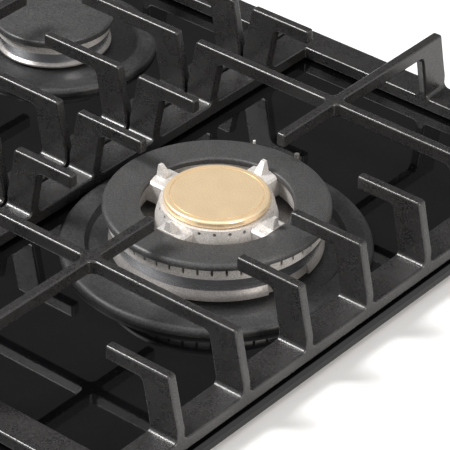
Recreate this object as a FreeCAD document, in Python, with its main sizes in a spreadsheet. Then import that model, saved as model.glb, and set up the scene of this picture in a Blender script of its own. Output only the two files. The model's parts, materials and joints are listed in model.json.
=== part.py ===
import FreeCAD, Part
import math
import os
import re

import Sketcher

# A built-in gas hob with five burners on a glass panel, in millimetres.
# +X right, +Y back, +Z up; the origin is under the middle of the tray, on the plane it rests on.

SIZES = {
    # glass panel and what lies under it
    "glass_width": 670,
    "glass_depth": 510,
    "glass_thickness": 6,
    "glass_bevel": 2,
    "glass_corner": 8,
    "glass_overhang": 19,
    "tray_height": 45,
    "tray_sheet": 1,
    "tray_flange": 6,
    "bead_width": 5,
    "bead_thickness": 1,
    "seal_inset": 3,
    "seal_width": 8,
    "seal_thickness": 3,
    # rails under the burners
    "rail_height": 16,
    "rail_width": 40,
    "rail_sheet": 1.5,
    "rail_front_gap": 76,
    "rail_back_gap": 8,
    "rail_leg_width": 8,
    "rail_foot_length": 12,
    # screws
    "screw_radius": 2,
    "screw_head_radius": 3.6,
    "screw_head_height": 2.2,
    "screw_clearance": 0.1,
    "screw_reach": 3,
    # grates
    "grate_side_margin": 3,
    "grate_gap": 2,
    "control_strip": 74,
    "grate_back_margin": 8,
    "grate_height": 48.5,
    "grate_foot_height": 1.3,
    "grate_foot_radius": 5,
    "grate_foot_inset": 11,
    "frame_bar_width": 20,
    "frame_bar_top": 9.4,
    "frame_corner": 12,
    "finger_width": 6,
    "finger_height": 8.8,
    "burner_margin": 10,
    "leg_top_inset": 6.6,
    "leg_shoulder_inset": 2.6,
    "leg_shoulder_height": 29,
    "leg_straight_height": 17,
    "leg_root_height": 4,
    "leg_lean": 5,
    "leg_inner_fillet": 4,
    "leg_elbow_round": 2,
    "leg_base_fillet": 3,
    "crossing_fillet": 3.5,
    "wok_finger_end": 60,
    "wok_row_end": 54.5,
    "wok_bar_end": 56,
    "small_finger_end": 44,
    "small_row_end": 26,
    # dishes under the burners
    "dish_height": 4.8,
    "dish_skin": 1.6,
    "dish_wall_run": 2.5,
    "dish_rim_round": 3.6,
    "dish_hole_gap": 1.5,
    "glass_hole_gap": 4,
    "probe_hole_gap": 1,
    "dish_frame_gap": 0.5,
    "wok_band_width": 14.5,
    "rapid_dish_radius": 78,
    "semi_dish_radius": 65,
    "auxiliary_dish_radius": 52,
    "small_band_width": 11,
    # burner cups
    "wok_cup_radius": 62,
    "wok_cup_wall": 4,
    "wok_cup_height": 19.5,
    "wok_cup_floor": 10,
    "wok_floor_sheet": 3,
    "wok_stem_radius": 44,
    "wok_base_radius": 30,
    "wok_cup_draft": 2.3,
    "wok_flange_overhang": 1.8,
    "wok_flange_height": 4.6,
    "wok_flange_edge": 2,
    "wok_flange_slope": 3.9,
    "small_cup_height": 13,
    "small_cup_wall": 3,
    "small_stem_inset": 8,
    "small_base_radius": 20,
    "small_cup_draft": 1.2,
    "small_flange_overhang": 1.8,
    "small_flange_height": 3.6,
    "small_flange_edge": 1,
    "small_flange_slope": 1.4,
    "small_floor_sheet": 1.8,
    "flange_notch_start": -22,
    "flange_notch_angle": 29,
    "stem_wall": 3,
    "stem_cone_height": 8,
    "cup_base_thickness": 6,
    "cup_screw_circle": 15,
    "venturi_radius": 9,
    # crown of the wok burner
    "seat_clearance": 0.3,
    "wok_crown_height": 8,
    "wok_crown_spigot": 4,
    "wok_crown_inner_radius": 46,
    "wok_channel_width": 6,
    "wok_channel_depth": 6,
    "wok_slot_count": 48,
    "wok_slot_depth": 5.5,
    "slot_width": 1.4,
    "wok_tube_bore": 28,
    "wok_tube_radius": 32.5,
    "wok_tube_foot_radius": 35,
    "wok_tube_foot_height": 22,
    "wok_tube_height": 31.5,
    "wok_port_radius": 1,
    "wok_port_drop": 2.1,
    "wok_port_angle": 15,
    "wok_port_run": 4,
    "bridge_count": 4,
    "bridge_width": 19,
    "bridge_bottom": 17,
    "bridge_shoulder": 30,
    "bridge_round": 1.3,
    "bridge_rise": 1,
    "spire_width": 6,
    "spire_length": 7.5,
    "spire_inset": 0.6,
    "spire_height": 37.6,
    "spire_tip_width": 2.6,
    "spire_tip_length": 2,
    "duct_width": 11,
    "duct_bottom": 19.5,
    "duct_top": 25,
    # crowns of the small burners
    "small_crown_height": 6,
    "small_crown_wall": 6,
    "small_crown_spigot": 4,
    "small_slot_depth": 2,
    "rapid_slot_count": 38,
    "semi_slot_count": 28,
    "auxiliary_slot_count": 20,
    # caps
    "ring_cap_radius": 65,
    "ring_cap_bore": 43.5,
    "ring_cap_thickness": 3.7,
    "ring_cap_round": 2.6,
    "centre_cap_radius": 30.25,
    "centre_cap_thickness": 3.9,
    "centre_cap_lift": 0.6,
    "centre_cap_land": 1,
    "centre_cap_ring": 26.8,
    "centre_cap_ring_width": 0.5,
    "centre_cap_ring_depth": 0.3,
    "rapid_cap_radius": 50,
    "semi_cap_radius": 38,
    "auxiliary_cap_radius": 26,
    "small_cap_overhang": 2.5,
    "small_cap_thickness": 4,
    "cap_round": 1.5,
    "cap_spigot_depth": 1.8,
    "cap_spigot_wall": 2,
    # injectors, electrodes and thermocouples
    "injector_flange_radius": 10,
    "injector_flange_height": 3,
    "injector_radius": 6,
    "injector_length": 6.5,
    "injector_tip_radius": 3,
    "injector_tip_length": 3,
    "injector_bore": 1.2,
    "probe_gap": 5.5,
    "probe_below": 14,
    "probe_rise": 1,
    "probe_clip_width": 5,
    "probe_clip_sheet": 1.5,
    "electrode_angle": 112,
    "electrode_radius": 2.5,
    "electrode_tip_radius": 0.8,
    "electrode_tip_length": 6,
    "thermocouple_angle": 89,
    "thermocouple_radius": 2.2,
    "thermocouple_tip_radius": 1.5,
    "thermocouple_tip_length": 8,
    # gas supply
    "manifold_width": 16,
    "manifold_bottom": 6,
    "manifold_wall": 2,
    "manifold_side_gap": 6,
    "manifold_cup_gap": 2,
    "manifold_back_gap": 4,
    "manifold_left_reach": 26,
    "inlet_radius": 10.48,
    "inlet_bore": 6,
    "inlet_length": 16,
    "inlet_neck": 1.5,
    "inlet_clearance": 0.5,
    "tube_radius": 3,
    "tube_bore": 2.2,
    "tube_run_height": 5,
    "tube_bend": 8,
    "tube_end_bend": 5,
    "tube_lead": 2,
    "tap_width": 24,
    "tap_depth": 28,
    "tap_height": 20,
    "tap_outlet_height": 8,
    "tap_outlet_radius": 5,
    "tap_outlet_length": 6,
    "tap_floor": 3,
    "plug_radius": 6,
    "plug_height": 16,
    "plug_floor": 1.5,
    "fit_clearance": 0.05,
    # knobs
    "knob_pitch": 62,
    "knob_radius": 20,
    "knob_height": 22,
    "knob_gap": 5.3,
    "knob_taper": 1.2,
    "knob_round": 1.2,
    "knob_bore_depth": 16,
    "knob_mark_width": 1.6,
    "knob_mark_depth": 0.6,
    "knob_mark_length": 12,
    "knob_travel": 3,
    "bezel_radius": 23,
    "bezel_bore": 5,
    "bezel_height": 2,
    "glass_knob_hole": 7,
    "spindle_radius": 4,
    "spindle_flat": 1,
    # ignition, mains entry and clamps
    "module_width": 60,
    "module_depth": 34,
    "module_height": 24,
    "module_centre": 120,
    "module_back_gap": 5,
    "module_post_radius": 2.5,
    "module_post_height": 6,
    "module_post_pitch": 11,
    "gland_centre": 176,
    "gland_height": 20,
    "gland_radius": 8,
    "gland_nut_radius": 11,
    "gland_nut_length": 4,
    "gland_bore": 3.5,
    "gland_length": 16,
    "clamp_spacing": 300,
    "clamp_width": 24,
    "clamp_height": 26,
    "clamp_reach": 24,
    "clamp_sheet": 2,
    "clamp_bottom": 4,
    "clamp_hole_radius": 2.5,
    "clamp_hole_reach": 14,
    "clamp_screw_height": 22,
}

# Heights and places worked out from the sizes, as formulas in the same names.
DERIVED = {
    "glass_bottom": "(tray_height + bead_thickness)",
    "glass_top": "(glass_bottom + glass_thickness)",
    "grate_width": "((glass_width - 2 * grate_side_margin - 2 * grate_gap) / 3)",
    "grate_depth": "(glass_depth - control_strip - grate_back_margin)",
    "column_pitch": "(grate_width + grate_gap)",
    "side_room": "(wok_base_radius + manifold_cup_gap + manifold_width + manifold_side_gap)",
    "tray_width": "(2 * (column_pitch + side_room + tray_sheet))",
    "tray_depth": "(glass_depth - 2 * glass_overhang)",
    "wok_dish_radius": "(grate_width / 2 - frame_bar_width - dish_frame_gap)",
    "grate_middle_y": "(glass_depth / 2 - grate_back_margin - grate_depth / 2)",
    "grate_front_y": "(grate_middle_y - grate_depth / 2)",
    "finger_pitch": "((grate_depth / 2 - frame_bar_width - rapid_dish_radius - burner_margin) / 2)",
    "burner_offset": "(2 * finger_pitch)",
    "grate_top": "(glass_top + grate_height)",
    "frame_bottom": "(glass_top + grate_foot_height)",
    "frame_top": "(glass_top + frame_bar_top)",
    "finger_bottom": "(grate_top - finger_height)",
    "rail_front_y": "(rail_front_gap + tray_sheet - tray_depth / 2)",
    "rail_back_y": "(tray_depth / 2 - tray_sheet - rail_back_gap)",
    "rail_underside": "(rail_height - rail_sheet)",
    "injector_bottom": "(rail_underside - injector_flange_height)",
    "stem_top_wall": "(wok_stem_radius - stem_wall)",
    "wok_cup_top": "(glass_top + wok_cup_height)",
    "wok_cup_bore": "(wok_cup_radius - wok_cup_wall)",
    "wok_crown_top": "(wok_cup_top + wok_crown_height)",
    "wok_tube_top": "(glass_top + wok_tube_height)",
    "bridge_radius": "(ring_cap_bore - seat_clearance)",
    "bridge_end": "(wok_crown_inner_radius + 1)",
    "channel_radius": "(wok_cup_radius - wok_channel_width)",
    "small_cup_top": "(glass_top + small_cup_height)",
    "small_crown_top": "(small_cup_top + small_crown_height)",
    "knob_row_y": "((grate_front_y - glass_depth / 2) / 2)",
    "knob_bottom": "(glass_top + knob_gap)",
    "knob_top": "(knob_bottom + knob_height)",
    "manifold_top": "(manifold_bottom + manifold_width)",
    "manifold_axis": "(manifold_bottom + manifold_width / 2)",
    "manifold_side_x": "(tray_width / 2 - tray_sheet - manifold_side_gap - manifold_width / 2)",
    "manifold_back_y": "(tray_depth / 2 - tray_sheet - manifold_back_gap)",
    "tap_outlet_z": "(manifold_top + tap_outlet_height)",
    "tap_back_y": "(knob_row_y + tap_depth / 2)",
    "plug_bottom": "(manifold_top + tap_floor + seat_clearance)",
    "plug_bore_bottom": "(plug_bottom + plug_floor)",
    "spindle_bottom": "(plug_bore_bottom + knob_travel + seat_clearance)",
    "spindle_top": "(knob_bottom + knob_bore_depth - seat_clearance)",
}

# Each burner: its kind, its column, and its place behind or before the middle of the grate.
BURNERS = {
    "left_front": ("rapid", "left", -1),
    "left_rear": ("semi", "left", 1),
    "middle_front": ("auxiliary", "middle", -1),
    "middle_rear": ("semi", "middle", 1),
    "wok": ("wok", "right", 0),
}
COLUMNS = {
    "left": "(0 - column_pitch)",
    "middle": "0",
    "right": "column_pitch",
}
# The burners in the order of their knobs, from left to right.
KNOB_ORDER = ["left_front", "left_rear", "middle_front", "middle_rear", "wok"]
PROBES = ["electrode", "thermocouple"]

UP = FreeCAD.Vector(0, 0, 1)

doc = FreeCAD.newDocument("gas_hob")
sheet = doc.addObject("Spreadsheet::Sheet", "sizes")
for row, (alias, value) in enumerate(SIZES.items(), start=1):
    sheet.set("A%d" % row, alias)
    sheet.set("B%d" % row, str(value))
    sheet.setAlias("B%d" % row, alias)
doc.recompute()

pieces = {}


def formula(text):
    # Turns plain names into references to the sheet's cells.
    def replace(match):
        word = match.group(0)
        if word in DERIVED:
            return formula(DERIVED[word])
        return "sizes." + word
    return re.sub(r"[a-z][a-z_]*[a-z]", replace, str(text))


def number(text):
    return float(sheet.evalExpression(formula(text)))


def minus(text):
    return "(0 - (%s))" % text


def bind(thing, **properties):
    for path, text in properties.items():
        thing.setExpression(path.replace("__", "."), formula(text))


def place(thing, x="0", y="0", z="0"):
    bind(thing, Placement__Base__x=x, Placement__Base__y=y, Placement__Base__z=z)
    return thing


def keep(name, thing):
    thing.Label = name
    pieces[name] = thing
    return thing


def burner_place(name):
    kind, column, row = BURNERS[name]
    return COLUMNS[column], "grate_middle_y + (%d) * burner_offset" % row


def knob_place(step):
    return "(%d) * knob_pitch" % step, "knob_row_y"


# Primitives and booleans whose sizes and places follow the sheet.

def box(name, low, size):
    block = doc.addObject("Part::Box", name)
    bind(block, Length=size[0], Width=size[1], Height=size[2])
    return place(block, *low)


def centred_box(name, centre, bottom, size):
    low_x = "%s - (%s) / 2" % (centre[0], size[0])
    low_y = "%s - (%s) / 2" % (centre[1], size[1])
    return box(name, (low_x, low_y, bottom), size)


def rod(name, base, radius, length, axis="z"):
    turns = {
        "x": FreeCAD.Rotation(FreeCAD.Vector(0, 1, 0), 90),
        "y": FreeCAD.Rotation(FreeCAD.Vector(1, 0, 0), -90),
        "z": FreeCAD.Rotation(),
    }
    solid = doc.addObject("Part::Cylinder", name)
    solid.Placement = FreeCAD.Placement(FreeCAD.Vector(), turns[axis])
    bind(solid, Radius=radius, Height=length)
    return place(solid, *base)


def fuse(name, *solids):
    joined = doc.addObject("Part::MultiFuse", name)
    joined.Shapes = list(solids)
    return joined


def cut(name, base, *tools):
    result = doc.addObject("Part::Cut", name)
    result.Base = base
    result.Tool = tools[0] if len(tools) == 1 else fuse(name + "_tools", *tools)
    return result


def group(name, solids):
    together = doc.addObject("Part::Compound", name)
    together.Links = list(solids)
    return together


# Bodies made of sketches and features.

def new_body(name, x="0", y="0"):
    body = doc.addObject("PartDesign::Body", name)
    return keep(name, place(body, x, y))


def datum(body, role):
    return next(item for item in body.Origin.OriginFeatures if item.Role == role)


def new_sketch(body, name, role, offset="0", turn=0):
    sketch = body.newObject("Sketcher::SketchObject", name)
    sketch.AttachmentSupport = [(datum(body, role), "")]
    sketch.MapMode = "FlatFace"
    sketch.AttachmentOffset = FreeCAD.Placement(
        FreeCAD.Vector(), FreeCAD.Rotation(FreeCAD.Vector(0, 1, 0), turn))
    ahead = math.cos(math.radians(turn))
    aside = math.sin(math.radians(turn))
    bind(sketch, AttachmentOffset__Base__x="(%s) * %.6f" % (offset, aside),
         AttachmentOffset__Base__z="(%s) * %.6f" % (offset, ahead))
    return sketch


def hold(sketch, kind, first, value, text):
    # Fixes one distance or radius in a sketch and ties it to the sheet.
    constraint = sketch.addConstraint(Sketcher.Constraint(kind, *first, value))
    sketch.setExpression("Constraints[%d]" % constraint, formula(text))


def outline(body, name, loops, role="XZ_Plane", offset="0", turn=0):
    # Closed loops of straight lines, each corner held by its two distances from the origin.
    sketch = new_sketch(body, name, role, offset, turn)
    start = 0
    for points in loops:
        count = len(points)
        corners = [FreeCAD.Vector(number(u), number(v), 0) for u, v in points]
        for index, corner in enumerate(corners):
            line = Part.LineSegment(corner, corners[(index + 1) % count])
            sketch.addGeometry(line, False)
        for index in range(count):
            joint = (start + index, 2, start + (index + 1) % count, 1)
            sketch.addConstraint(Sketcher.Constraint("Coincident", *joint))
        for index, (u, v) in enumerate(points):
            end = (-1, 1, start + index, 1)
            hold(sketch, "DistanceX", end, corners[index].x, u)
            hold(sketch, "DistanceY", end, corners[index].y, v)
        start += count
    return sketch


def circle(body, name, centre, radius, role="XY_Plane", offset="0", turn=0):
    sketch = new_sketch(body, name, role, offset, turn)
    middle = FreeCAD.Vector(number(centre[0]), number(centre[1]), 0)
    sketch.addGeometry(Part.Circle(middle, UP, number(radius)), False)
    hold(sketch, "Radius", (0,), number(radius), radius)
    hold(sketch, "DistanceX", (-1, 1, 0, 3), middle.x, centre[0])
    hold(sketch, "DistanceY", (-1, 1, 0, 3), middle.y, centre[1])
    return sketch


def rectangle(low_x, low_y, high_x, high_y):
    return [(low_x, low_y), (high_x, low_y), (high_x, high_y), (low_x, high_y)]


def revolve(body, name, points):
    profile = outline(body, name + "_outline", [points])
    turned = body.newObject("PartDesign::Revolution", name)
    turned.Profile = profile
    turned.ReferenceAxis = (profile, ["V_Axis"])
    turned.Angle = 360
    return turned


def groove(body, name, points, turn=0, angle=360):
    profile = outline(body, name + "_outline", [points], turn=turn)
    turned = body.newObject("PartDesign::Groove", name)
    turned.Profile = profile
    turned.ReferenceAxis = (profile, ["V_Axis"])
    turned.Angle = angle
    return turned


def pad(body, name, profile, length, middle=False, merge=True):
    made = body.newObject("PartDesign::Pad", name)
    made.Profile = profile
    made.Refine = merge
    bind(made, Length=length)
    if middle:
        made.SideType = "Symmetric"
    return made


def pocket(body, name, profile, length, other_way=False):
    made = body.newObject("PartDesign::Pocket", name)
    made.Profile = profile
    made.Reversed = other_way
    bind(made, Length=length)
    return made


def drill(body, name, centre, radius, top, depth):
    return pocket(body, name, circle(body, name + "_circle", centre, radius, offset=top), depth)


def around(body, name, originals, count):
    pattern = body.newObject("PartDesign::PolarPattern", name)
    pattern.Originals = originals
    pattern.Axis = (datum(body, "Z_Axis"), [""])
    pattern.Angle = 360
    pattern.Refine = False
    bind(pattern, Occurrences=count)
    body.Tip = pattern
    return pattern


def dress(body, kind, name, chosen, **size):
    # Rounds or bevels the edges of the body that the test picks.
    doc.recompute()
    base = body.Tip
    edges = ["Edge%d" % (i + 1) for i, edge in enumerate(base.Shape.Edges) if chosen(edge)]
    dressed = body.newObject("PartDesign::" + kind, name)
    dressed.Base = (base, edges)
    bind(dressed, **size)
    body.Tip = dressed
    return dressed


def close(value, text):
    return abs(value - number(text)) < 0.01


def runs_along(edge, axis):
    if not isinstance(edge.Curve, Part.Line):
        return False
    return abs(edge.tangentAt(edge.FirstParameter).dot(axis)) > 0.999


def ring_edges(height, *radii):
    # Picks the circles of the given radii at one height.
    def chosen(edge):
        curve = edge.Curve
        if not isinstance(curve, Part.Circle):
            return False
        return close(curve.Center.z, height) and any(close(curve.Radius, radius) for radius in radii)
    return chosen


# The glass panel, the seal under its edge and the bead that carries the tray.

def make_glass_panel():
    body = new_body("glass_panel")
    corners = rectangle(minus("glass_width / 2"), minus("glass_depth / 2"),
                        "glass_width / 2", "glass_depth / 2")
    plate = outline(body, "glass_outline", [corners], "XY_Plane", "glass_bottom")
    pad(body, "glass_plate", plate, "glass_thickness")
    dress(body, "Fillet", "glass_corners", lambda edge: runs_along(edge, UP), Radius="glass_corner")

    def on_top(edge):
        return close(edge.BoundBox.ZMin, "glass_top") and close(edge.BoundBox.ZMax, "glass_top")

    dress(body, "Chamfer", "glass_edge", on_top, Size="glass_bevel")
    for name, (kind, column, line) in BURNERS.items():
        x, y = burner_place(name)
        drill(body, name + "_opening", (x, y), "%s + glass_hole_gap" % stem_radius(kind),
              "glass_top", "glass_thickness")
        for probe in PROBES:
            across, along = probe_place(kind, probe)
            drill(body, "%s_%s_opening" % (name, probe), ("%s + %s" % (x, across), "%s + %s" % (y, along)),
                  "%s_radius + probe_hole_gap" % probe, "glass_top", "glass_thickness")
    for step, name in enumerate(KNOB_ORDER, start=-2):
        drill(body, name + "_spindle_hole", knob_place(step), "glass_knob_hole", "glass_top",
              "glass_thickness")


def flat_ring(name, width, depth, bar, bottom, height):
    outer = centred_box(name + "_outer", ("0", "0"), bottom, (width, depth, height))
    opening = ("%s - 2 * %s" % (width, bar), "%s - 2 * %s" % (depth, bar), height)
    inner = centred_box(name + "_inner", ("0", "0"), bottom, opening)
    return cut(name, outer, inner)


def make_seal_and_bead():
    seal = flat_ring("seal_ring", "glass_width - 2 * seal_inset", "glass_depth - 2 * seal_inset",
                     "seal_width", "glass_bottom - seal_thickness", "seal_thickness")
    keep("worktop_seal", seal)
    bead = flat_ring("bead_ring", "tray_width + 2 * tray_flange", "tray_depth + 2 * tray_flange",
                     "bead_width", "tray_height", "bead_thickness")
    keep("bonding_bead", bead)


# The tray, a pressed box with a flange, and what is fixed to its walls.

def make_bottom_tray():
    outer = centred_box("tray_outer", ("0", "0"), "0", ("tray_width", "tray_depth", "tray_height"))
    brim = ("tray_width + 2 * tray_flange", "tray_depth + 2 * tray_flange", "tray_sheet")
    flange = centred_box("tray_brim", ("0", "0"), "tray_height - tray_sheet", brim)
    room = ("tray_width - 2 * tray_sheet", "tray_depth - 2 * tray_sheet", "tray_height")
    hollow = centred_box("tray_hollow", ("0", "0"), "tray_sheet", room)
    wall_y = "tray_depth / 2 - 2 * tray_sheet"
    gland = rod("tray_gland_hole", (minus("gland_centre"), wall_y, "gland_height"),
                "gland_radius + screw_clearance", "3 * tray_sheet", "y")
    inlet = rod("tray_inlet_hole", ("manifold_side_x", wall_y, "manifold_axis"),
                "inlet_radius + inlet_clearance", "3 * tray_sheet", "y")
    holes = [gland, inlet]
    for name, x, y in rail_feet():
        holes.append(rod("tray_hole_" + name, (x, y, "0"), "screw_radius + screw_clearance",
                         "2 * tray_sheet"))
    for name, side, y in clamp_places():
        base_x = "%s * (tray_width / 2) - 2 * tray_sheet" % side
        holes.append(rod("tray_hole_" + name, (base_x, y, "clamp_screw_height"),
                         "screw_radius + screw_clearance", "4 * tray_sheet", "x"))
    keep("bottom_tray", cut("tray", fuse("tray_shell", outer, flange), hollow, *holes))


def clamp_places():
    # One name, side and place along the tray for each worktop clamp.
    for side_name, side in (("left", "(0 - 1)"), ("right", "1")):
        for end_name, end in (("front", "-"), ("rear", "+")):
            yield "clamp_%s_%s" % (side_name, end_name), side, "0 %s clamp_spacing / 2" % end


def make_clamps():
    brackets = []
    screws = []
    for name, side, y in clamp_places():
        wall = "%s * (tray_width / 2)" % side
        left = "%s - (%s) / 2"
        plate_x = left % ("%s + %s * clamp_sheet / 2" % (wall, side), "clamp_sheet")
        low_y = left % (y, "clamp_width")
        plate = box(name + "_plate", (plate_x, low_y, "clamp_bottom"),
                    ("clamp_sheet", "clamp_width", "clamp_height"))
        arm_x = left % ("%s + %s * clamp_reach / 2" % (wall, side), "clamp_reach")
        arm = box(name + "_arm", (arm_x, low_y, "clamp_bottom"),
                  ("clamp_reach", "clamp_width", "clamp_sheet"))
        hole_x = "%s + %s * clamp_hole_reach" % (wall, side)
        hole = rod(name + "_hole", (hole_x, y, "clamp_bottom - 1"), "clamp_hole_radius",
                   "clamp_sheet + 2")
        screw_x = left % ("%s + %s * clamp_sheet / 2" % (wall, side), "2 * clamp_sheet")
        screw_hole = rod(name + "_screw_hole", (screw_x, y, "clamp_screw_height"),
                         "screw_radius + screw_clearance", "2 * clamp_sheet", "x")
        brackets.append(cut(name, fuse(name + "_blank", plate, arm), hole, screw_hole))
        length = "clamp_sheet + tray_sheet + screw_reach"
        centre = "%s + %s * (clamp_sheet - (%s) / 2)" % (wall, side, length)
        shank = rod(name + "_shank", (left % (centre, length), y, "clamp_screw_height"),
                    "screw_radius", length, "x")
        centre = "%s + %s * (clamp_sheet + screw_head_height / 2)" % (wall, side)
        head = rod(name + "_head", (left % (centre, "screw_head_height"), y, "clamp_screw_height"),
                   "screw_head_radius", "screw_head_height", "x")
        screws.append(fuse(name + "_screw", shank, head))
    keep("clamp_brackets", group("brackets", brackets))
    keep("clamp_screws", group("bracket_screws", screws))


# Burner rails: each carries a column of burners and stands on four narrow legs.

def rail_feet():
    # One name and place for each foot of each rail.
    across = "(rail_width - rail_leg_width) / 2"
    ends = {
        "front": "rail_front_y - rail_foot_length / 2",
        "rear": "rail_back_y - rail_foot_length / 2",
    }
    for column, x in COLUMNS.items():
        for end, y in ends.items():
            yield "%s_%s_left" % (column, end), "%s - %s" % (x, across), y
            yield "%s_%s_right" % (column, end), "%s + %s" % (x, across), y


def cup_screw_places(burner):
    x, y = burner_place(burner)
    yield burner + "_left", "%s - cup_screw_circle" % x, y
    yield burner + "_right", "%s + cup_screw_circle" % x, y


def make_rails():
    front = "rail_front_y"
    back = "rail_back_y - rail_foot_length"
    hole_radius = "screw_radius + screw_clearance"
    leg = ("rail_leg_width", "rail_sheet", "rail_height - tray_sheet")
    foot = ("rail_leg_width", "rail_foot_length", "rail_sheet")
    rails = []
    for column, x in COLUMNS.items():
        left = "%s - rail_width / 2" % x
        right = "%s + rail_width / 2 - rail_leg_width" % x
        parts = [box(column + "_rail_plate", (left, front, "rail_underside"),
                     ("rail_width", "%s - %s" % (back, front), "rail_sheet"))]
        for side, leg_x in (("left", left), ("right", right)):
            tag = "%s_%s" % (column, side)
            parts.append(box(tag + "_front_leg", (leg_x, front, "tray_sheet"), leg))
            parts.append(box(tag + "_front_foot",
                             (leg_x, "%s - rail_foot_length" % front, "tray_sheet"), foot))
            parts.append(box(tag + "_rear_leg", (leg_x, "%s - rail_sheet" % back, "tray_sheet"), leg))
            parts.append(box(tag + "_rear_foot", (leg_x, "%s - rail_sheet" % back, "tray_sheet"),
                             ("rail_leg_width", "rail_foot_length + rail_sheet", "rail_sheet")))
        holes = []
        for name, hole_x, hole_y in rail_feet():
            if name.startswith(column):
                holes.append(rod("foot_hole_" + name, (hole_x, hole_y, "0"), hole_radius,
                                 "tray_sheet + 2 * rail_sheet"))
        for burner, (kind, burner_column, line) in BURNERS.items():
            if burner_column != column:
                continue
            holes.append(rod(burner + "_injector_hole",
                             (*burner_place(burner), "rail_height - 2 * rail_sheet"),
                             "injector_radius + 1", "3 * rail_sheet"))
            for name, hole_x, hole_y in cup_screw_places(burner):
                holes.append(rod("rail_hole_" + name, (hole_x, hole_y, "rail_height - 2 * rail_sheet"),
                                 hole_radius, "3 * rail_sheet"))
        rails.append(cut(column + "_rail", fuse(column + "_rail_blank", *parts), *holes))
    keep("burner_rails", group("rails", rails))


def make_frame_screws():
    # Screws that hold the rails' feet to the tray and, from below, the cups to the rails.
    screws = []
    for name, x, y in rail_feet():
        seat = "tray_sheet + rail_sheet"
        shank = rod(name + "_screw_shank", (x, y, "0"), "screw_radius", seat)
        head = rod(name + "_screw_head", (x, y, seat), "screw_head_radius", "screw_head_height")
        screws.append(fuse(name + "_screw", shank, head))
    for burner in BURNERS:
        for name, x, y in cup_screw_places(burner):
            shank = rod(name + "_cup_shank", (x, y, "rail_underside"), "screw_radius",
                        "rail_sheet + screw_reach")
            head = rod(name + "_cup_head", (x, y, "rail_underside - screw_head_height"),
                       "screw_head_radius", "screw_head_height")
            screws.append(fuse(name + "_cup_screw", shank, head))
    keep("frame_screws", group("screw_set", screws))


# Cast-iron grates: a flat frame, legs that stand on it, and bars between the legs.

def leg_side(half, side):
    # The leg at one end of a bar, from the inside of the bar round its foot to the top.
    inner = "(%s - frame_bar_width)" % half
    points = [
        ("%s - leg_lean" % inner, "finger_bottom"),
        (inner, "frame_top + leg_root_height"),
        (inner, "frame_bottom"),
        (half, "frame_bottom"),
        (half, "glass_top + leg_straight_height"),
        ("%s - leg_shoulder_inset" % half, "glass_top + leg_shoulder_height"),
        ("%s - leg_top_inset" % half, "grate_top"),
    ]
    return points if side > 0 else [(minus(u), v) for u, v in points]


def fingers(half, end):
    # Two bars, one from each side, that stop short of the middle.
    loops = []
    for side in (1, -1):
        tip = end if side > 0 else minus(end)
        loops.append([(tip, "finger_bottom")] + leg_side(half, side) + [(tip, "grate_top")])
    return loops


def full_bar(half):
    return [leg_side(half, 1) + leg_side(half, -1)[::-1]]


def add_row(body, name, loops, row):
    # A bar across the grate; row counts finger pitches behind the grate's middle.
    profile = outline(body, name + "_outline", loops, "XZ_Plane", "(%d) * finger_pitch" % -row)
    pad(body, name, profile, "finger_width", middle=True, merge=False)


def add_spine(body, name, loops):
    # A bar from front to back along the middle of the grate.
    profile = outline(body, name + "_outline", loops, "YZ_Plane")
    pad(body, name, profile, "finger_width", middle=True)


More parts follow.
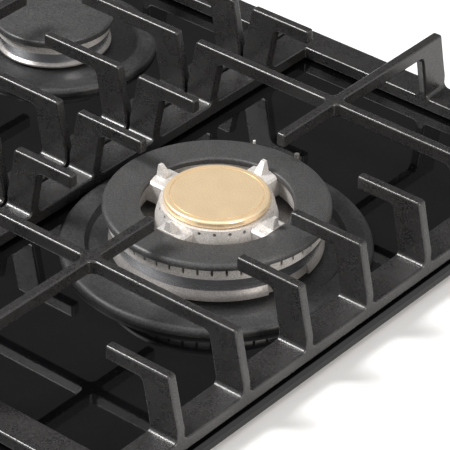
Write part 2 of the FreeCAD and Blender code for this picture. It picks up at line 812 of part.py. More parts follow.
def make_grate(column, crossings):
    name = "grate_" + column
    body = new_body(name, COLUMNS[column], "grate_middle_y")
    half_width = "(grate_width / 2)"
    half_depth = "(grate_depth / 2)"
    inner_width = "%s - frame_bar_width" % half_width
    inner_depth = "%s - frame_bar_width" % half_depth
    border = rectangle(minus(half_width), minus(half_depth), half_width, half_depth)
    window = rectangle(minus(inner_width), minus(inner_depth), inner_width, inner_depth)
    plate = outline(body, name + "_border", [border], "XY_Plane", "frame_bottom")
    pad(body, name + "_frame", plate, "frame_bar_top - grate_foot_height")
    dress(body, "Fillet", name + "_corners", lambda edge: runs_along(edge, UP), Radius="frame_corner")
    hole = outline(body, name + "_window", [window], "XY_Plane", "frame_top")
    pocket(body, name + "_opening", hole, "frame_bar_top - grate_foot_height")

    for row in range(-3, 4):
        tag = "%s_row_%d" % (name, row + 4)
        if row in crossings:
            add_row(body, tag, full_bar(half_width), row)
        elif column == "right":
            end = "wok_row_end" if row == 0 else "wok_finger_end"
            add_row(body, tag, fingers(half_width, end), row)
        else:
            end = "small_row_end" if abs(row) == 2 else "small_finger_end"
            add_row(body, tag, fingers(half_width, end), row)
    if column == "right":
        add_spine(body, name + "_spine", fingers(half_depth, "wok_bar_end"))
    else:
        add_spine(body, name + "_spine", fingers(half_depth, "(burner_offset + small_row_end)"))
        reach = "burner_offset - small_row_end"
        middle = rectangle(minus(reach), "finger_bottom", reach, "grate_top")
        add_spine(body, name + "_middle_spine", [middle])

    half_bar = number("finger_width / 2")
    pitch = number("finger_pitch")

    def at_crossing(edge):
        middle = edge.BoundBox.Center
        if not runs_along(edge, UP) or edge.BoundBox.ZMin < number("finger_bottom") - 0.01:
            return False
        beside = [abs(abs(middle.y - row * pitch) - half_bar) < 0.01 for row in crossings]
        return any(beside) and abs(abs(middle.x) - half_bar) < 0.01

    dress(body, "Fillet", name + "_crossings", at_crossing, Radius="crossing_fillet")

    def in_bar_corner(edge):
        middle = edge.BoundBox.Center
        if not close(middle.z, "finger_bottom"):
            return False
        across = runs_along(edge, FreeCAD.Vector(0, 1, 0)) and close(abs(middle.x),
                                                                     inner_width + " - leg_lean")
        along = runs_along(edge, FreeCAD.Vector(1, 0, 0)) and close(abs(middle.y),
                                                                    inner_depth + " - leg_lean")
        return across or along

    dress(body, "Fillet", name + "_bar_corners", in_bar_corner, Radius="leg_inner_fillet")

    def at_elbow(edge):
        middle = edge.BoundBox.Center
        if not close(middle.z, "grate_top"):
            return False
        across = runs_along(edge, FreeCAD.Vector(0, 1, 0)) and close(abs(middle.x),
                                                                     half_width + " - leg_top_inset")
        along = runs_along(edge, FreeCAD.Vector(1, 0, 0)) and close(abs(middle.y),
                                                                    half_depth + " - leg_top_inset")
        return across or along

    dress(body, "Fillet", name + "_elbows", at_elbow, Radius="leg_elbow_round")

    def at_leg_root(edge):
        middle = edge.BoundBox.Center
        if not close(middle.z, "frame_top"):
            return False
        if runs_along(edge, FreeCAD.Vector(1, 0, 0)) and close(edge.Length, "frame_bar_width"):
            return any(abs(abs(middle.y - row * pitch) - half_bar) < 0.01 for row in range(-3, 4))
        if runs_along(edge, FreeCAD.Vector(0, 1, 0)) and close(edge.Length, "frame_bar_width"):
            return abs(abs(middle.x) - half_bar) < 0.01
        return False

    dress(body, "Fillet", name + "_leg_roots", at_leg_root, Radius="leg_base_fillet")


def copy_grate(column, other):
    # The grate of another column, the same casting in its own place.
    twin = group("grate_" + other, [pieces["grate_" + column]])
    place(twin, "%s - %s" % (COLUMNS[other], COLUMNS[column]))
    keep("grate_" + other, twin)


def make_grate_feet(column):
    name = "grate_" + column
    feet = []
    reach_x = "(grate_width / 2 - grate_foot_inset)"
    reach_y = "(grate_depth / 2 - 2 * grate_foot_inset)"
    for side in ("-", "+"):
        for end in ("-", "+"):
            spot = ("%s %s %s" % (COLUMNS[column], side, reach_x),
                    "grate_middle_y %s %s" % (end, reach_y), "glass_top")
            feet.append(rod("%s_foot_%d" % (name, len(feet) + 1), spot, "grate_foot_radius",
                            "grate_foot_height"))
    keep(name + "_feet", group(name + "_foot_set", feet))


# Dishes: pressed rings that cover the holes in the glass and leave a well round each cup.

def band_radius(kind):
    width = "wok_band_width" if kind == "wok" else "small_band_width"
    return "%s_dish_radius - %s" % (kind, width)


def cup_radius(kind):
    return "wok_cup_radius" if kind == "wok" else "(%s_cap_radius - small_cap_overhang)" % kind


def stem_radius(kind):
    return "wok_stem_radius" if kind == "wok" else "(%s - small_stem_inset)" % cup_radius(kind)


def probe_radius(kind):
    cap = "ring_cap_radius" if kind == "wok" else "%s_cap_radius" % kind
    return "(%s + probe_gap)" % cap


def probe_place(kind, probe):
    # Where the probe stands, from the middle of its burner.
    turn = math.radians(number("%s_angle" % probe))
    radius = probe_radius(kind)
    return "%s * (%.6f)" % (radius, math.cos(turn)), "%s * (%.6f)" % (radius, math.sin(turn))


def make_dish(burner):
    kind = BURNERS[burner][0]
    body = new_body(burner + "_dish", *burner_place(burner))
    radius = "%s_dish_radius" % kind
    band = band_radius(kind)
    hole = "%s + dish_hole_gap" % stem_radius(kind)
    top = "glass_top + dish_height"
    well = "glass_top + dish_skin"
    revolve(body, burner + "_dish_pressing", [
        (radius, "glass_top"),
        (radius, top),
        (band, top),
        ("%s - dish_wall_run" % band, well),
        (hole, well),
        (hole, "glass_top"),
        ("%s - dish_wall_run + dish_skin" % band, "glass_top"),
        ("%s + dish_skin" % band, "%s - dish_skin" % top),
        ("%s - dish_skin" % radius, "%s - dish_skin" % top),
        ("%s - dish_skin" % radius, "glass_top"),
    ])
    dress(body, "Fillet", burner + "_dish_rim", ring_edges(top, radius), Radius="dish_rim_round")
    for probe in PROBES:
        drill(body, "%s_%s_hole" % (burner, probe), probe_place(kind, probe),
              "%s_radius + seat_clearance" % probe, top, "dish_height")


# Cups: castings that stand on the rails and reach up through the dishes.

def stem_profile(kind, base):
    # The outside of a cup from its venturi to the foot of its tapered wall.
    size = "wok" if kind == "wok" else "small"
    waist = "(%s - %s_cup_draft)" % (cup_radius(kind), size)
    rim = "%s + %s_flange_overhang" % (waist, size)
    stem = stem_radius(kind)
    base_top = "rail_height + cup_base_thickness"
    flange = "glass_top + %s_flange_height" % size
    edge = "%s + %s_flange_edge" % (flange, size)
    return [
        ("venturi_radius", "rail_height"),
        (base, "rail_height"),
        (base, base_top),
        (stem, "%s + stem_cone_height" % base_top),
        (stem, flange),
        (rim, flange),
        (rim, edge),
        (waist, "%s + %s_flange_slope" % (edge, size)),
    ]


def drill_cup_base(body, name):
    for side, x in (("left", minus("cup_screw_circle")), ("right", "cup_screw_circle")):
        spot = circle(body, "%s_%s_screw_circle" % (name, side), (x, "0"),
                      "screw_radius + screw_clearance", offset="rail_height")
        pocket(body, "%s_%s_screw_hole" % (name, side), spot, "screw_reach + seat_clearance", True)


def make_wok_cup():
    body = new_body("wok_cup", *burner_place("wok"))
    base_top = "rail_height + cup_base_thickness"
    floor = "glass_top + wok_cup_floor"
    inside = "wok_stem_radius - stem_wall"
    points = stem_profile("wok", "wok_base_radius")
    points += [
        ("wok_cup_radius", "wok_cup_top"),
        ("wok_cup_bore", "wok_cup_top"),
        ("wok_cup_bore", floor),
        ("wok_tube_bore", floor),
        ("wok_tube_bore", "%s - wok_floor_sheet" % floor),
        (inside, "%s - wok_floor_sheet" % floor),
        (inside, "%s + stem_cone_height + stem_wall / 2" % base_top),
        ("wok_base_radius - stem_wall", base_top),
        ("venturi_radius", base_top),
    ]
    revolve(body, "wok_cup_casting", points)
    waist = "wok_cup_radius - wok_cup_draft"
    notch_low = "glass_top + wok_flange_height"
    notch = rectangle(waist, notch_low, waist + " + 2 * wok_flange_overhang",
                      notch_low + " + wok_flange_edge + wok_flange_slope")
    groove(body, "flange_notch", notch, number("flange_notch_start"), number("flange_notch_angle"))
    drill_cup_base(body, "wok_cup")


def make_small_cup(burner):
    kind = BURNERS[burner][0]
    name = burner + "_cup"
    body = new_body(name, *burner_place(burner))
    base_top = "rail_height + cup_base_thickness"
    radius = cup_radius(kind)
    inside = "%s - stem_wall" % stem_radius(kind)
    floor = "glass_top + small_flange_height + small_floor_sheet"
    points = stem_profile(kind, "small_base_radius")
    points += [
        (radius, "small_cup_top"),
        ("%s - small_cup_wall" % radius, "small_cup_top"),
        ("%s - small_cup_wall" % radius, floor),
        (inside, "%s - small_floor_sheet" % floor),
        (inside, "%s + stem_cone_height" % base_top),
        ("venturi_radius + stem_wall / 2", base_top),
        ("venturi_radius", base_top),
    ]
    revolve(body, name + "_casting", points)
    drill_cup_base(body, name)


# Crowns: rings with flame slots that lie on the cups.

def add_slots(body, name, inner, outer, top, count, depth):
    # Radial slots sunk into the top of a ring.
    mark = rectangle(inner, minus("slot_width / 2"), outer, "slot_width / 2")
    slot = pocket(body, name + "_slot", outline(body, name + "_slot_outline", [mark], "XY_Plane", top),
                  depth)
    around(body, name + "_slots", [slot], count)


def make_wok_crown():
    body = new_body("wok_crown", *burner_place("wok"))
    revolve(body, "outer_ring", [
        ("wok_crown_inner_radius", "wok_cup_top - wok_crown_spigot"),
        ("wok_cup_bore - seat_clearance", "wok_cup_top - wok_crown_spigot"),
        ("wok_cup_bore - seat_clearance", "wok_cup_top"),
        ("wok_cup_radius", "wok_cup_top"),
        ("wok_cup_radius", "wok_crown_top"),
        ("wok_crown_inner_radius", "wok_crown_top"),
    ])
    foot = "glass_top + wok_cup_floor + seat_clearance"
    near = "wok_tube_bore + 1"
    half = "bridge_width / 2"
    ledge = "(%s - bridge_round)" % half
    middle = "spire_width / 2"
    low = "glass_top + bridge_bottom"
    shoulder = "glass_top + bridge_shoulder"
    side = shoulder + " - bridge_round"
    crest = shoulder + " + bridge_rise"
    section = [(minus(half), low), (half, low), (half, side), (ledge, shoulder), (middle, crest),
               (minus(middle), crest), (minus(ledge), shoulder), (minus(half), side)]
    bridge = pad(body, "bridge", outline(body, "bridge_section", [section], "YZ_Plane", near),
                 "bridge_end - (%s)" % near)

    def spire_level(name, length, width, height):
        reach = "bridge_radius - spire_inset"
        mark = rectangle("%s - %s" % (reach, length), minus(width + " / 2"), reach, width + " / 2")
        return outline(body, name, [mark], "XY_Plane", "glass_top + " + height)

    spire = body.newObject("PartDesign::AdditiveLoft", "spire")
    spire.Profile = spire_level("spire_foot", "spire_length", "spire_width", "bridge_shoulder")
    spire.Sections = [spire_level("spire_top", "spire_tip_length", "spire_tip_width", "spire_height")]
    spire.Ruled = True
    body.Tip = spire
    around(body, "bridges", [bridge, spire], "bridge_count")
    tube = [
        ("wok_tube_bore", foot),
        ("wok_tube_foot_radius", foot),
        ("wok_tube_foot_radius", "glass_top + wok_tube_foot_height"),
        ("wok_tube_radius", "wok_tube_top"),
        ("wok_tube_bore", "wok_tube_top"),
    ]
    revolve(body, "inner_tube", tube)
    groove(body, "bridge_ends", rectangle("bridge_radius", "wok_crown_top",
                                          "wok_cup_radius", "glass_top + spire_height"))
    groove(body, "gas_channel", rectangle("channel_radius - wok_channel_width",
                                          "wok_crown_top - wok_channel_depth",
                                          "channel_radius", "wok_crown_top"))
    duct = rectangle(minus("duct_width / 2"), "glass_top + duct_bottom",
                     "duct_width / 2", "glass_top + duct_top")
    hollow = pocket(body, "duct", outline(body, "duct_outline", [duct], "YZ_Plane", "channel_radius"),
                    "channel_radius - wok_tube_bore + 1")
    around(body, "ducts", [hollow], "bridge_count")
    add_slots(body, "wok_crown", "channel_radius - 1", "wok_cup_radius + 1", "wok_crown_top",
              "wok_slot_count", "wok_slot_depth")
    ports = []
    run = int(number("wok_port_run"))
    middle = 180 / number("bridge_count")
    for index in range(run):
        turn = middle + (index - (run - 1) / 2) * number("wok_port_angle")
        hole = circle(body, "port_%d_circle" % (index + 1), ("0", "wok_tube_top - wok_port_drop"),
                      "wok_port_radius", "YZ_Plane", "wok_tube_foot_radius + 1", turn)
        ports.append(pocket(body, "port_%d" % (index + 1), hole,
                            "wok_tube_foot_radius - wok_tube_bore + 2"))
    around(body, "ports", ports, "bridge_count")


def make_small_crown(burner):
    kind = BURNERS[burner][0]
    name = burner + "_crown"
    body = new_body(name, *burner_place(burner))
    radius = cup_radius(kind)
    bore = "%s - small_crown_wall" % radius
    spigot = "%s - small_cup_wall - seat_clearance" % radius
    revolve(body, name + "_ring", [
        (bore, "small_cup_top - small_crown_spigot"),
        (spigot, "small_cup_top - small_crown_spigot"),
        (spigot, "small_cup_top"),
        (radius, "small_cup_top"),
        (radius, "small_crown_top"),
        (bore, "small_crown_top"),
    ])
    add_slots(body, name, "%s - 1" % bore, "%s + 1" % radius, "small_crown_top",
              "%s_slot_count" % kind, "small_slot_depth")


# Caps: enamelled lids on the crowns, and the cap in the middle of the wok burner.

def make_ring_cap():
    body = new_body("wok_ring_cap", *burner_place("wok"))
    top = "wok_crown_top + ring_cap_thickness"
    revolve(body, "ring_cap_casting", rectangle("ring_cap_bore", "wok_crown_top",
                                                "ring_cap_radius", top))
    dress(body, "Fillet", "ring_cap_rim", ring_edges(top, "ring_cap_radius"), Radius="ring_cap_round")
    dress(body, "Fillet", "ring_cap_lip", ring_edges(top, "ring_cap_bore"), Radius="cap_round")


def make_centre_cap():
    body = new_body("wok_centre_cap", *burner_place("wok"))
    under = "wok_tube_top + centre_cap_lift"
    top = "%s + centre_cap_thickness" % under
    spigot = "wok_tube_bore - seat_clearance"
    revolve(body, "centre_cap_casting", [
        ("0", under),
        ("%s - cap_spigot_wall" % spigot, under),
        ("%s - cap_spigot_wall" % spigot, "wok_tube_top - cap_spigot_depth"),
        (spigot, "wok_tube_top - cap_spigot_depth"),
        (spigot, "wok_tube_top"),
        ("wok_tube_bore + centre_cap_land", "wok_tube_top"),
        ("wok_tube_bore + centre_cap_land", under),
        ("centre_cap_radius", under),
        ("centre_cap_radius", top),
        ("0", top),
    ])
    dress(body, "Fillet", "centre_cap_edge", ring_edges(top, "centre_cap_radius"), Radius="cap_round")
    groove(body, "centre_cap_line", rectangle("centre_cap_ring - centre_cap_ring_width",
                                              "%s - centre_cap_ring_depth" % top,
                                              "centre_cap_ring", top))


def make_small_cap(burner):
    kind = BURNERS[burner][0]
    name = burner + "_cap"
    body = new_body(name, *burner_place(burner))
    radius = "%s_cap_radius" % kind
    top = "small_crown_top + small_cap_thickness"
    spigot = "%s - small_crown_wall - seat_clearance" % cup_radius(kind)
    low = "small_crown_top - cap_spigot_depth"
    revolve(body, name + "_casting", [
        ("0", "small_crown_top"),
        ("%s - cap_spigot_wall" % spigot, "small_crown_top"),
        ("%s - cap_spigot_wall" % spigot, low),
        (spigot, low),
        (spigot, "small_crown_top"),
        (radius, "small_crown_top"),
        (radius, top),
        ("0", top),
    ])
    dress(body, "Fillet", name + "_edge", ring_edges(top, radius), Radius="cap_round")


# Injectors under the cups, and the electrode and thermocouple beside each crown.

def make_injectors():
    injectors = []
    for burner in BURNERS:
        x, y = burner_place(burner)
        body_top = "rail_underside + injector_length"
        flange = rod(burner + "_injector_flange", (x, y, "injector_bottom"), "injector_flange_radius",
                     "injector_flange_height")
        barrel = rod(burner + "_injector_barrel", (x, y, "injector_bottom"), "injector_radius",
                     "%s - injector_bottom" % body_top)
        tip = rod(burner + "_injector_tip", (x, y, body_top), "injector_tip_radius",
                  "injector_tip_length")
        bore = rod(burner + "_injector_bore", (x, y, "injector_bottom"), "injector_bore",
                   "%s + injector_tip_length - injector_bottom" % body_top)
        blank = fuse(burner + "_injector_blank", flange, barrel, tip)
        injectors.append(cut(burner + "_injector", blank, bore))
    keep("injectors", group("injector_set", injectors))


def make_probe(burner, kind, probe):
    # A ceramic or steel stem with a finer tip, on a clip that reaches out from the cup.
    crown_top = "wok_crown_top" if kind == "wok" else "small_crown_top"
    tip_top = "%s + probe_rise" % crown_top
    reach = probe_radius(kind)
    stem_low = "glass_top - probe_below"
    stem_high = "%s - %s_tip_length" % (tip_top, probe)
    tag = "%s_%s" % (burner, probe)
    stem = rod(tag + "_stem", (reach, "0", stem_low), "%s_radius" % probe,
               "%s - (%s)" % (stem_high, stem_low))
    tip = rod(tag + "_tip", (reach, "0", stem_high), "%s_tip_radius" % probe, "%s_tip_length" % probe)
    near = "%s + screw_clearance" % stem_radius(kind)
    clip = box(tag + "_clip", (near, minus("probe_clip_width / 2"), stem_low),
               ("%s - (%s)" % (reach, near), "probe_clip_width", "probe_clip_sheet"))
    joined = fuse(tag, stem, tip, clip)
    turn = FreeCAD.Rotation(UP, number("%s_angle" % probe))
    joined.Placement = FreeCAD.Placement(FreeCAD.Vector(), turn)
    return place(joined, *burner_place(burner))


def make_probes():
    for probe, name in (("electrode", "electrodes"), ("thermocouple", "thermocouples")):
        probes = [make_probe(burner, kind, probe) for burner, (kind, column, line) in BURNERS.items()]
        keep(name, group(probe + "_set", probes))


# Gas supply: a square manifold along the front and the right side, taps on it, and tubes.

def make_manifold():
    end_x = "manifold_side_x + manifold_width / 2"
    front_y = "knob_row_y - manifold_width / 2"
    start_x = "(0 - 2 * knob_pitch - manifold_left_reach)"
    wall = "manifold_wall"
    inside = "(manifold_width - 2 * manifold_wall)"
    front = box("manifold_front", (start_x, front_y, "manifold_bottom"),
                ("%s - %s" % (end_x, start_x), "manifold_width", "manifold_width"))
    side = box("manifold_side", ("%s - manifold_width" % end_x, front_y, "manifold_bottom"),
               ("manifold_width", "manifold_back_y - (%s)" % front_y, "manifold_width"))
    front_room = box("manifold_front_room",
                     ("%s + %s" % (start_x, wall), "%s + %s" % (front_y, wall),
                      "manifold_bottom + manifold_wall"),
                     ("%s - %s - 2 * manifold_wall" % (end_x, start_x), inside, inside))
    side_room = box("manifold_side_room",
                    ("%s - manifold_width + %s" % (end_x, wall), "%s + %s" % (front_y, wall),
                     "manifold_bottom + manifold_wall"),
                    (inside, "manifold_back_y - (%s) - 2 * manifold_wall" % front_y, inside))
    holes = [front_room, side_room]
    for step, burner in enumerate(KNOB_ORDER, start=-2):
        x, y = knob_place(step)
        holes.append(rod(burner + "_manifold_hole", (x, y, "manifold_top - 2 * manifold_wall"),
                         "tube_radius", "3 * manifold_wall"))
    holes.append(rod("manifold_inlet_hole", ("manifold_side_x", "manifold_back_y - 2 * manifold_wall",
                                             "manifold_axis"), "inlet_bore - 1", "3 * manifold_wall", "y"))
    keep("gas_manifold", cut("manifold", fuse("manifold_bar", front, side), *holes))
    base = ("manifold_side_x", "manifold_back_y", "manifold_axis")
    neck_length = "manifold_back_gap + tray_sheet"
    out = neck_length + " + inlet_length"
    neck = rod("inlet_neck", base, "inlet_radius - inlet_neck", neck_length, "y")
    outside = ("manifold_side_x", "tray_depth / 2", "manifold_axis")
    pipe = rod("inlet_pipe", outside, "inlet_radius", "inlet_length", "y")
    bore = rod("inlet_bore", base, "inlet_bore", out, "y")
    keep("gas_inlet", cut("inlet", fuse("inlet_stub", neck, pipe), bore))


def make_taps():
    taps = []
    bore = "plug_radius + fit_clearance"
    for step, burner in enumerate(KNOB_ORDER, start=-2):
        x, y = knob_place(step)
        block = centred_box(burner + "_tap_block", (x, y), "manifold_top",
                            ("tap_width", "tap_depth", "tap_height"))
        outlet = rod(burner + "_tap_outlet", (x, "tap_back_y - 1", "tap_outlet_z"), "tap_outlet_radius",
                     "tap_outlet_length + 1", "y")
        plug_room = rod(burner + "_plug_room", (x, y, "manifold_top + tap_floor"), bore, "tap_height")
        inlet = rod(burner + "_tap_inlet", (x, y, "manifold_top - 1"), "tube_radius", "tap_floor + 2")
        passage = rod(burner + "_tap_passage", (x, "%s + plug_radius - 1" % y, "tap_outlet_z"),
                      "tube_bore", "tap_depth + tap_outlet_length", "y")
        blank = fuse(burner + "_tap_blank", block, outlet)
        taps.append(cut(burner + "_tap", blank, plug_room, inlet, passage))
    keep("gas_taps", group("tap_set", taps))


def bent_tube(corners, bends, radius):
    # A tube of the given radius along straight runs joined by arcs.
    edges = []
    start = corners[0]
    for index in range(1, len(corners) - 1):
        corner = corners[index]
        back = (corners[index - 1] - corner).normalize()
        ahead = (corners[index + 1] - corner).normalize()
        bend = bends[index - 1]
        entry = corner + back * bend
        leave = corner + ahead * bend
        centre = corner + back * bend + ahead * bend
        middle = centre + (corner - centre).normalize() * bend
        edges.append(Part.LineSegment(start, entry).toShape())
        edges.append(Part.Arc(entry, middle, leave).toShape())
        start = leave
    edges.append(Part.LineSegment(start, corners[-1]).toShape())
    path = Part.Wire(edges)
    first = (corners[1] - corners[0]).normalize()
    ring = Part.Wire([Part.Circle(corners[0], first, radius).toShape()])
    return path.makePipeShell([ring], True, False)


def make_tubes():
    # Each tube drops behind its tap, runs over the tray floor and rises into its injector.
    tubes = []
    outlet_y = number("tap_back_y + tap_outlet_length")
    high = number("tap_outlet_z")
    low = number("tube_run_height")
    top = number("injector_bottom")
    bend = number("tube_bend")
    drop_y = outlet_y + number("tube_lead") + bend
    for step, burner in enumerate(KNOB_ORDER, start=-2):
        tap_x = number(knob_place(step)[0])
        burner_x, burner_y = [number(text) for text in burner_place(burner)]
        corners = [FreeCAD.Vector(tap_x, outlet_y, high), FreeCAD.Vector(tap_x, drop_y, high),
                   FreeCAD.Vector(tap_x, drop_y, low), FreeCAD.Vector(tap_x, burner_y, low)]
        bends = [bend, bend]
        if abs(burner_x - tap_x) > 1:
            corners.append(FreeCAD.Vector(burner_x, burner_y, low))
            bends.append(bend)
        corners.append(FreeCAD.Vector(burner_x, burner_y, top))
        bends.append(number("tube_end_bend"))
        wall = bent_tube(corners, bends, number("tube_radius"))
        hollow = bent_tube(corners, bends, number("tube_bore"))
        tubes.append(wall.cut(hollow))
    supply = doc.addObject("Part::Feature", "tubes")
    supply.Shape = Part.makeCompound(tubes)
    supply.Placement = FreeCAD.Placement()
    keep("supply_tubes", supply)


# Controls: a plug turns in each tap, and the spindle with its knob slides in the plug.

def make_controls():
    bezels = []
    for step, burner in enumerate(KNOB_ORDER, start=-2):
        index = step + 3
        x, y = knob_place(step)
        tag = "control_%d" % index
        plug = rod(tag + "_plug_blank", (x, y, "plug_bottom"), "plug_radius", "plug_height")
        socket = rod(tag + "_plug_socket", (x, y, "plug_bore_bottom"), "spindle_radius + fit_clearance",
                     "plug_height")
        keep("tap_plug_%d" % index, cut(tag + "_plug", plug, socket))

        length = "spindle_top - spindle_bottom"
        shaft = rod(tag + "_shaft", (x, y, "spindle_bottom"), "spindle_radius", length)
        flat_y = "%s - spindle_radius - 1" % y
        flat = box(tag + "_flat", ("%s - spindle_radius - 1" % x, flat_y, "knob_bottom"),
                   ("2 * spindle_radius + 2", "spindle_flat + 1", "knob_bore_depth"))
        keep("spindle_%d" % index, cut(tag + "_spindle", shaft, flat))

        knob = new_body("knob_%d" % index, x, y)
        revolve(knob, tag + "_knob", [
            ("0", "knob_bottom"),
            ("knob_radius", "knob_bottom"),
            ("knob_radius - knob_taper", "knob_top"),
            ("0", "knob_top"),
        ])
        dress(knob, "Fillet", tag + "_knob_edge", ring_edges("knob_top", "knob_radius - knob_taper"),
              Radius="knob_round")
        reach = "knob_radius - knob_taper - knob_round"
        mark = rectangle(minus("knob_mark_width / 2"), "%s - knob_mark_length" % reach,
                         "knob_mark_width / 2", reach)
        pocket(knob, tag + "_mark", outline(knob, tag + "_mark_outline", [mark], "XY_Plane", "knob_top"),
               "knob_mark_depth")
        bore = new_sketch(knob, tag + "_bore_outline", "XY_Plane", "knob_bottom")
        add_flatted_circle(bore, "spindle_radius + fit_clearance", "spindle_flat")
        pocket(knob, tag + "_bore", bore, "knob_bore_depth", True)

        ring = rod(tag + "_bezel_ring", (x, y, "glass_top"), "bezel_radius", "bezel_height")
        hole = rod(tag + "_bezel_hole", (x, y, "glass_top"), "bezel_bore", "bezel_height")
        bezels.append(cut(tag + "_bezel", ring, hole))
    keep("knob_bezels", group("bezel_set", bezels))


def add_flatted_circle(sketch, radius, flat):
    # A circle with one side cut off flat, for a spindle that carries the knob round.
    size = number(radius)
    low = number("%s - (%s)" % (flat, radius))
    half = math.sqrt(size * size - low * low)
    start = math.atan2(low, half)
    arc = Part.ArcOfCircle(Part.Circle(FreeCAD.Vector(), UP, size), start, math.pi - start)
    sketch.addGeometry(arc, False)
    sketch.addGeometry(Part.LineSegment(FreeCAD.Vector(-half, low, 0), FreeCAD.Vector(half, low, 0)), False)
    sketch.addConstraint(Sketcher.Constraint("Coincident", 0, 3, -1, 1))
    sketch.addConstraint(Sketcher.Constraint("Coincident", 0, 2, 1, 1))
    sketch.addConstraint(Sketcher.Constraint("Coincident", 1, 2, 0, 1))
    sketch.addConstraint(Sketcher.Constraint("Horizontal", 1))
    hold(sketch, "Radius", (0,), size, radius)
    hold(sketch, "DistanceY", (-1, 1, 1, 1), low, "%s - (%s)" % (flat, radius))


# Ignition module and mains gland at the back of the tray.

def make_electrics():
    back = "tray_depth / 2 - tray_sheet - module_back_gap"
    centre = (minus("module_centre"), "%s - module_depth / 2" % back)
    case = centred_box("module_case", centre, "tray_sheet",
                       ("module_width", "module_depth", "module_height"))
    parts = [case]
    for step, burner in enumerate(KNOB_ORDER, start=-2):
        x = "%s + (%d) * module_post_pitch" % (centre[0], step)
        parts.append(rod(burner + "_module_post", (x, centre[1], "tray_sheet + module_height - 1"),
                         "module_post_radius", "module_post_height + 1"))
    keep("ignition_module", fuse("module", *parts))

    wall = "tray_depth / 2 - tray_sheet"
    start = "%s - gland_nut_length" % wall
    spot = minus("gland_centre")
    barrel = rod("gland_barrel", (spot, start, "gland_height"), "gland_radius", "gland_length", "y")
    nut = rod("gland_nut", (spot, start, "gland_height"), "gland_nut_radius", "gland_nut_length", "y")
    collar = rod("gland_collar", (spot, "tray_depth / 2", "gland_height"), "gland_nut_radius",
                 "gland_nut_length", "y")
    bore = rod("gland_bore", (spot, start, "gland_height"), "gland_bore", "gland_length", "y")
    keep("mains_gland", cut("gland", fuse("gland_blank", barrel, nut, collar), bore))


make_glass_panel()
make_seal_and_bead()
make_bottom_tray()
make_clamps()
make_rails()
make_frame_screws()
make_grate("left", [0])
copy_grate("left", "middle")
make_grate("right", [-2, 2])
for column in COLUMNS:
    make_grate_feet(column)
for burner in BURNERS:
    make_dish(burner)
    if burner != "wok":
        make_small_cup(burner)
        make_small_crown(burner)
        make_small_cap(burner)
make_wok_cup()
make_wok_crown()
make_ring_cap()
make_centre_cap()
make_injectors()
make_probes()
make_manifold()
make_taps()
make_tubes()
make_controls()
make_electrics()

doc.recompute()
for item in doc.Objects:
    if "Invalid" in item.State or "Error" in item.State:
        raise RuntimeError("%s (%s) did not build: %s" % (item.Label, item.Name, item.State))
for name, piece in pieces.items():
    if piece.Shape.isNull() or not piece.Shape.isValid():
        raise RuntimeError("%s has no valid shape" % name)

os.makedirs("parts", exist_ok=True)
for name, piece in pieces.items():
    piece.Shape.exportStep("parts/%s.step" % name)
    print("%-22s %2d solids %12.1f mm3" % (name, len(piece.Shape.Solids), piece.Shape.Volume))
print("%d pieces" % len(pieces))
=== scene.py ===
import json
import math

import bmesh
import bpy
from mathutils import Matrix, Vector

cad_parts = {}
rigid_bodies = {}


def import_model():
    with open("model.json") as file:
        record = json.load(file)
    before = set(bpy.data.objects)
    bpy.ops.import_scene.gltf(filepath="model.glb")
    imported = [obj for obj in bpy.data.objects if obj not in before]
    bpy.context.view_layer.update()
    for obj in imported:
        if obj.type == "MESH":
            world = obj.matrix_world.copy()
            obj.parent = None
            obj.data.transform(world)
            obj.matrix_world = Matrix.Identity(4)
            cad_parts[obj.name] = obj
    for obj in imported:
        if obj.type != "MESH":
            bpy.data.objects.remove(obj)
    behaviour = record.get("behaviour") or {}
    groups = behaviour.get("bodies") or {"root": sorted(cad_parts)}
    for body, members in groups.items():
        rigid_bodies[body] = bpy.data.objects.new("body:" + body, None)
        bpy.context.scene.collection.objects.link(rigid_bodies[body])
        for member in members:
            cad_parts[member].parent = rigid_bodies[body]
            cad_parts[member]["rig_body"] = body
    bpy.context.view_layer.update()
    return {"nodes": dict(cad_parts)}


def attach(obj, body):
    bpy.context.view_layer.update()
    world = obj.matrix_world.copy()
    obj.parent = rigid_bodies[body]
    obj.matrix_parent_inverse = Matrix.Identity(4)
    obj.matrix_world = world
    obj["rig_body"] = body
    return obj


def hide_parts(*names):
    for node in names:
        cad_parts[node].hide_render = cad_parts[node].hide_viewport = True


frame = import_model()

mm = 0.001
nodes = frame["nodes"]

for name in ("Cube", "Light", "Camera"):
    if name in bpy.data.objects and name not in nodes:
        bpy.data.objects.remove(bpy.data.objects[name])

print("frame loaded:", len(nodes), "nodes")

hob = {
    "glassTop": 52 * mm,
    "wokCentre": (222 * mm, 33 * mm),
    "knobs": 5,
    "knobRow": -218 * mm,
    "knobPitch": 62 * mm,
    "burners": {
        "left_front": (-222 * mm, -73 * mm),
        "left_rear": (-222 * mm, 139 * mm),
        "middle_front": (0.0, -73 * mm),
        "middle_rear": (0.0, 139 * mm),
    },
}
knobNumbers = range(1, hob["knobs"] + 1)


def knobX(number):
    # the knobs stand in one row, with the middle one on the centre line
    return (number - (hob["knobs"] + 1) / 2) * hob["knobPitch"]


# node groups that several finishes share

sand = {
    "fineDetail": 2.0, "slowDetail": 3.0, "rough": 0.6, "slowShare": 0.07,
    "grainEnds": (0.34, 0.66), "patchEnds": (0.35, 0.65),
}
scratches = {"detail": 2.0, "rough": 0.7, "ends": (0.3, 0.7)}


def newGroup(name, inputs, outputs):
    tree = bpy.data.node_groups.new(name, "ShaderNodeTree")
    for label, kind, value in inputs:
        socket = tree.interface.new_socket(name=label, in_out="INPUT", socket_type=kind)
        socket.default_value = value
    for label in outputs:
        tree.interface.new_socket(name=label, in_out="OUTPUT", socket_type="NodeSocketFloat")
    return tree, tree.nodes.new("NodeGroupInput"), tree.nodes.new("NodeGroupOutput")


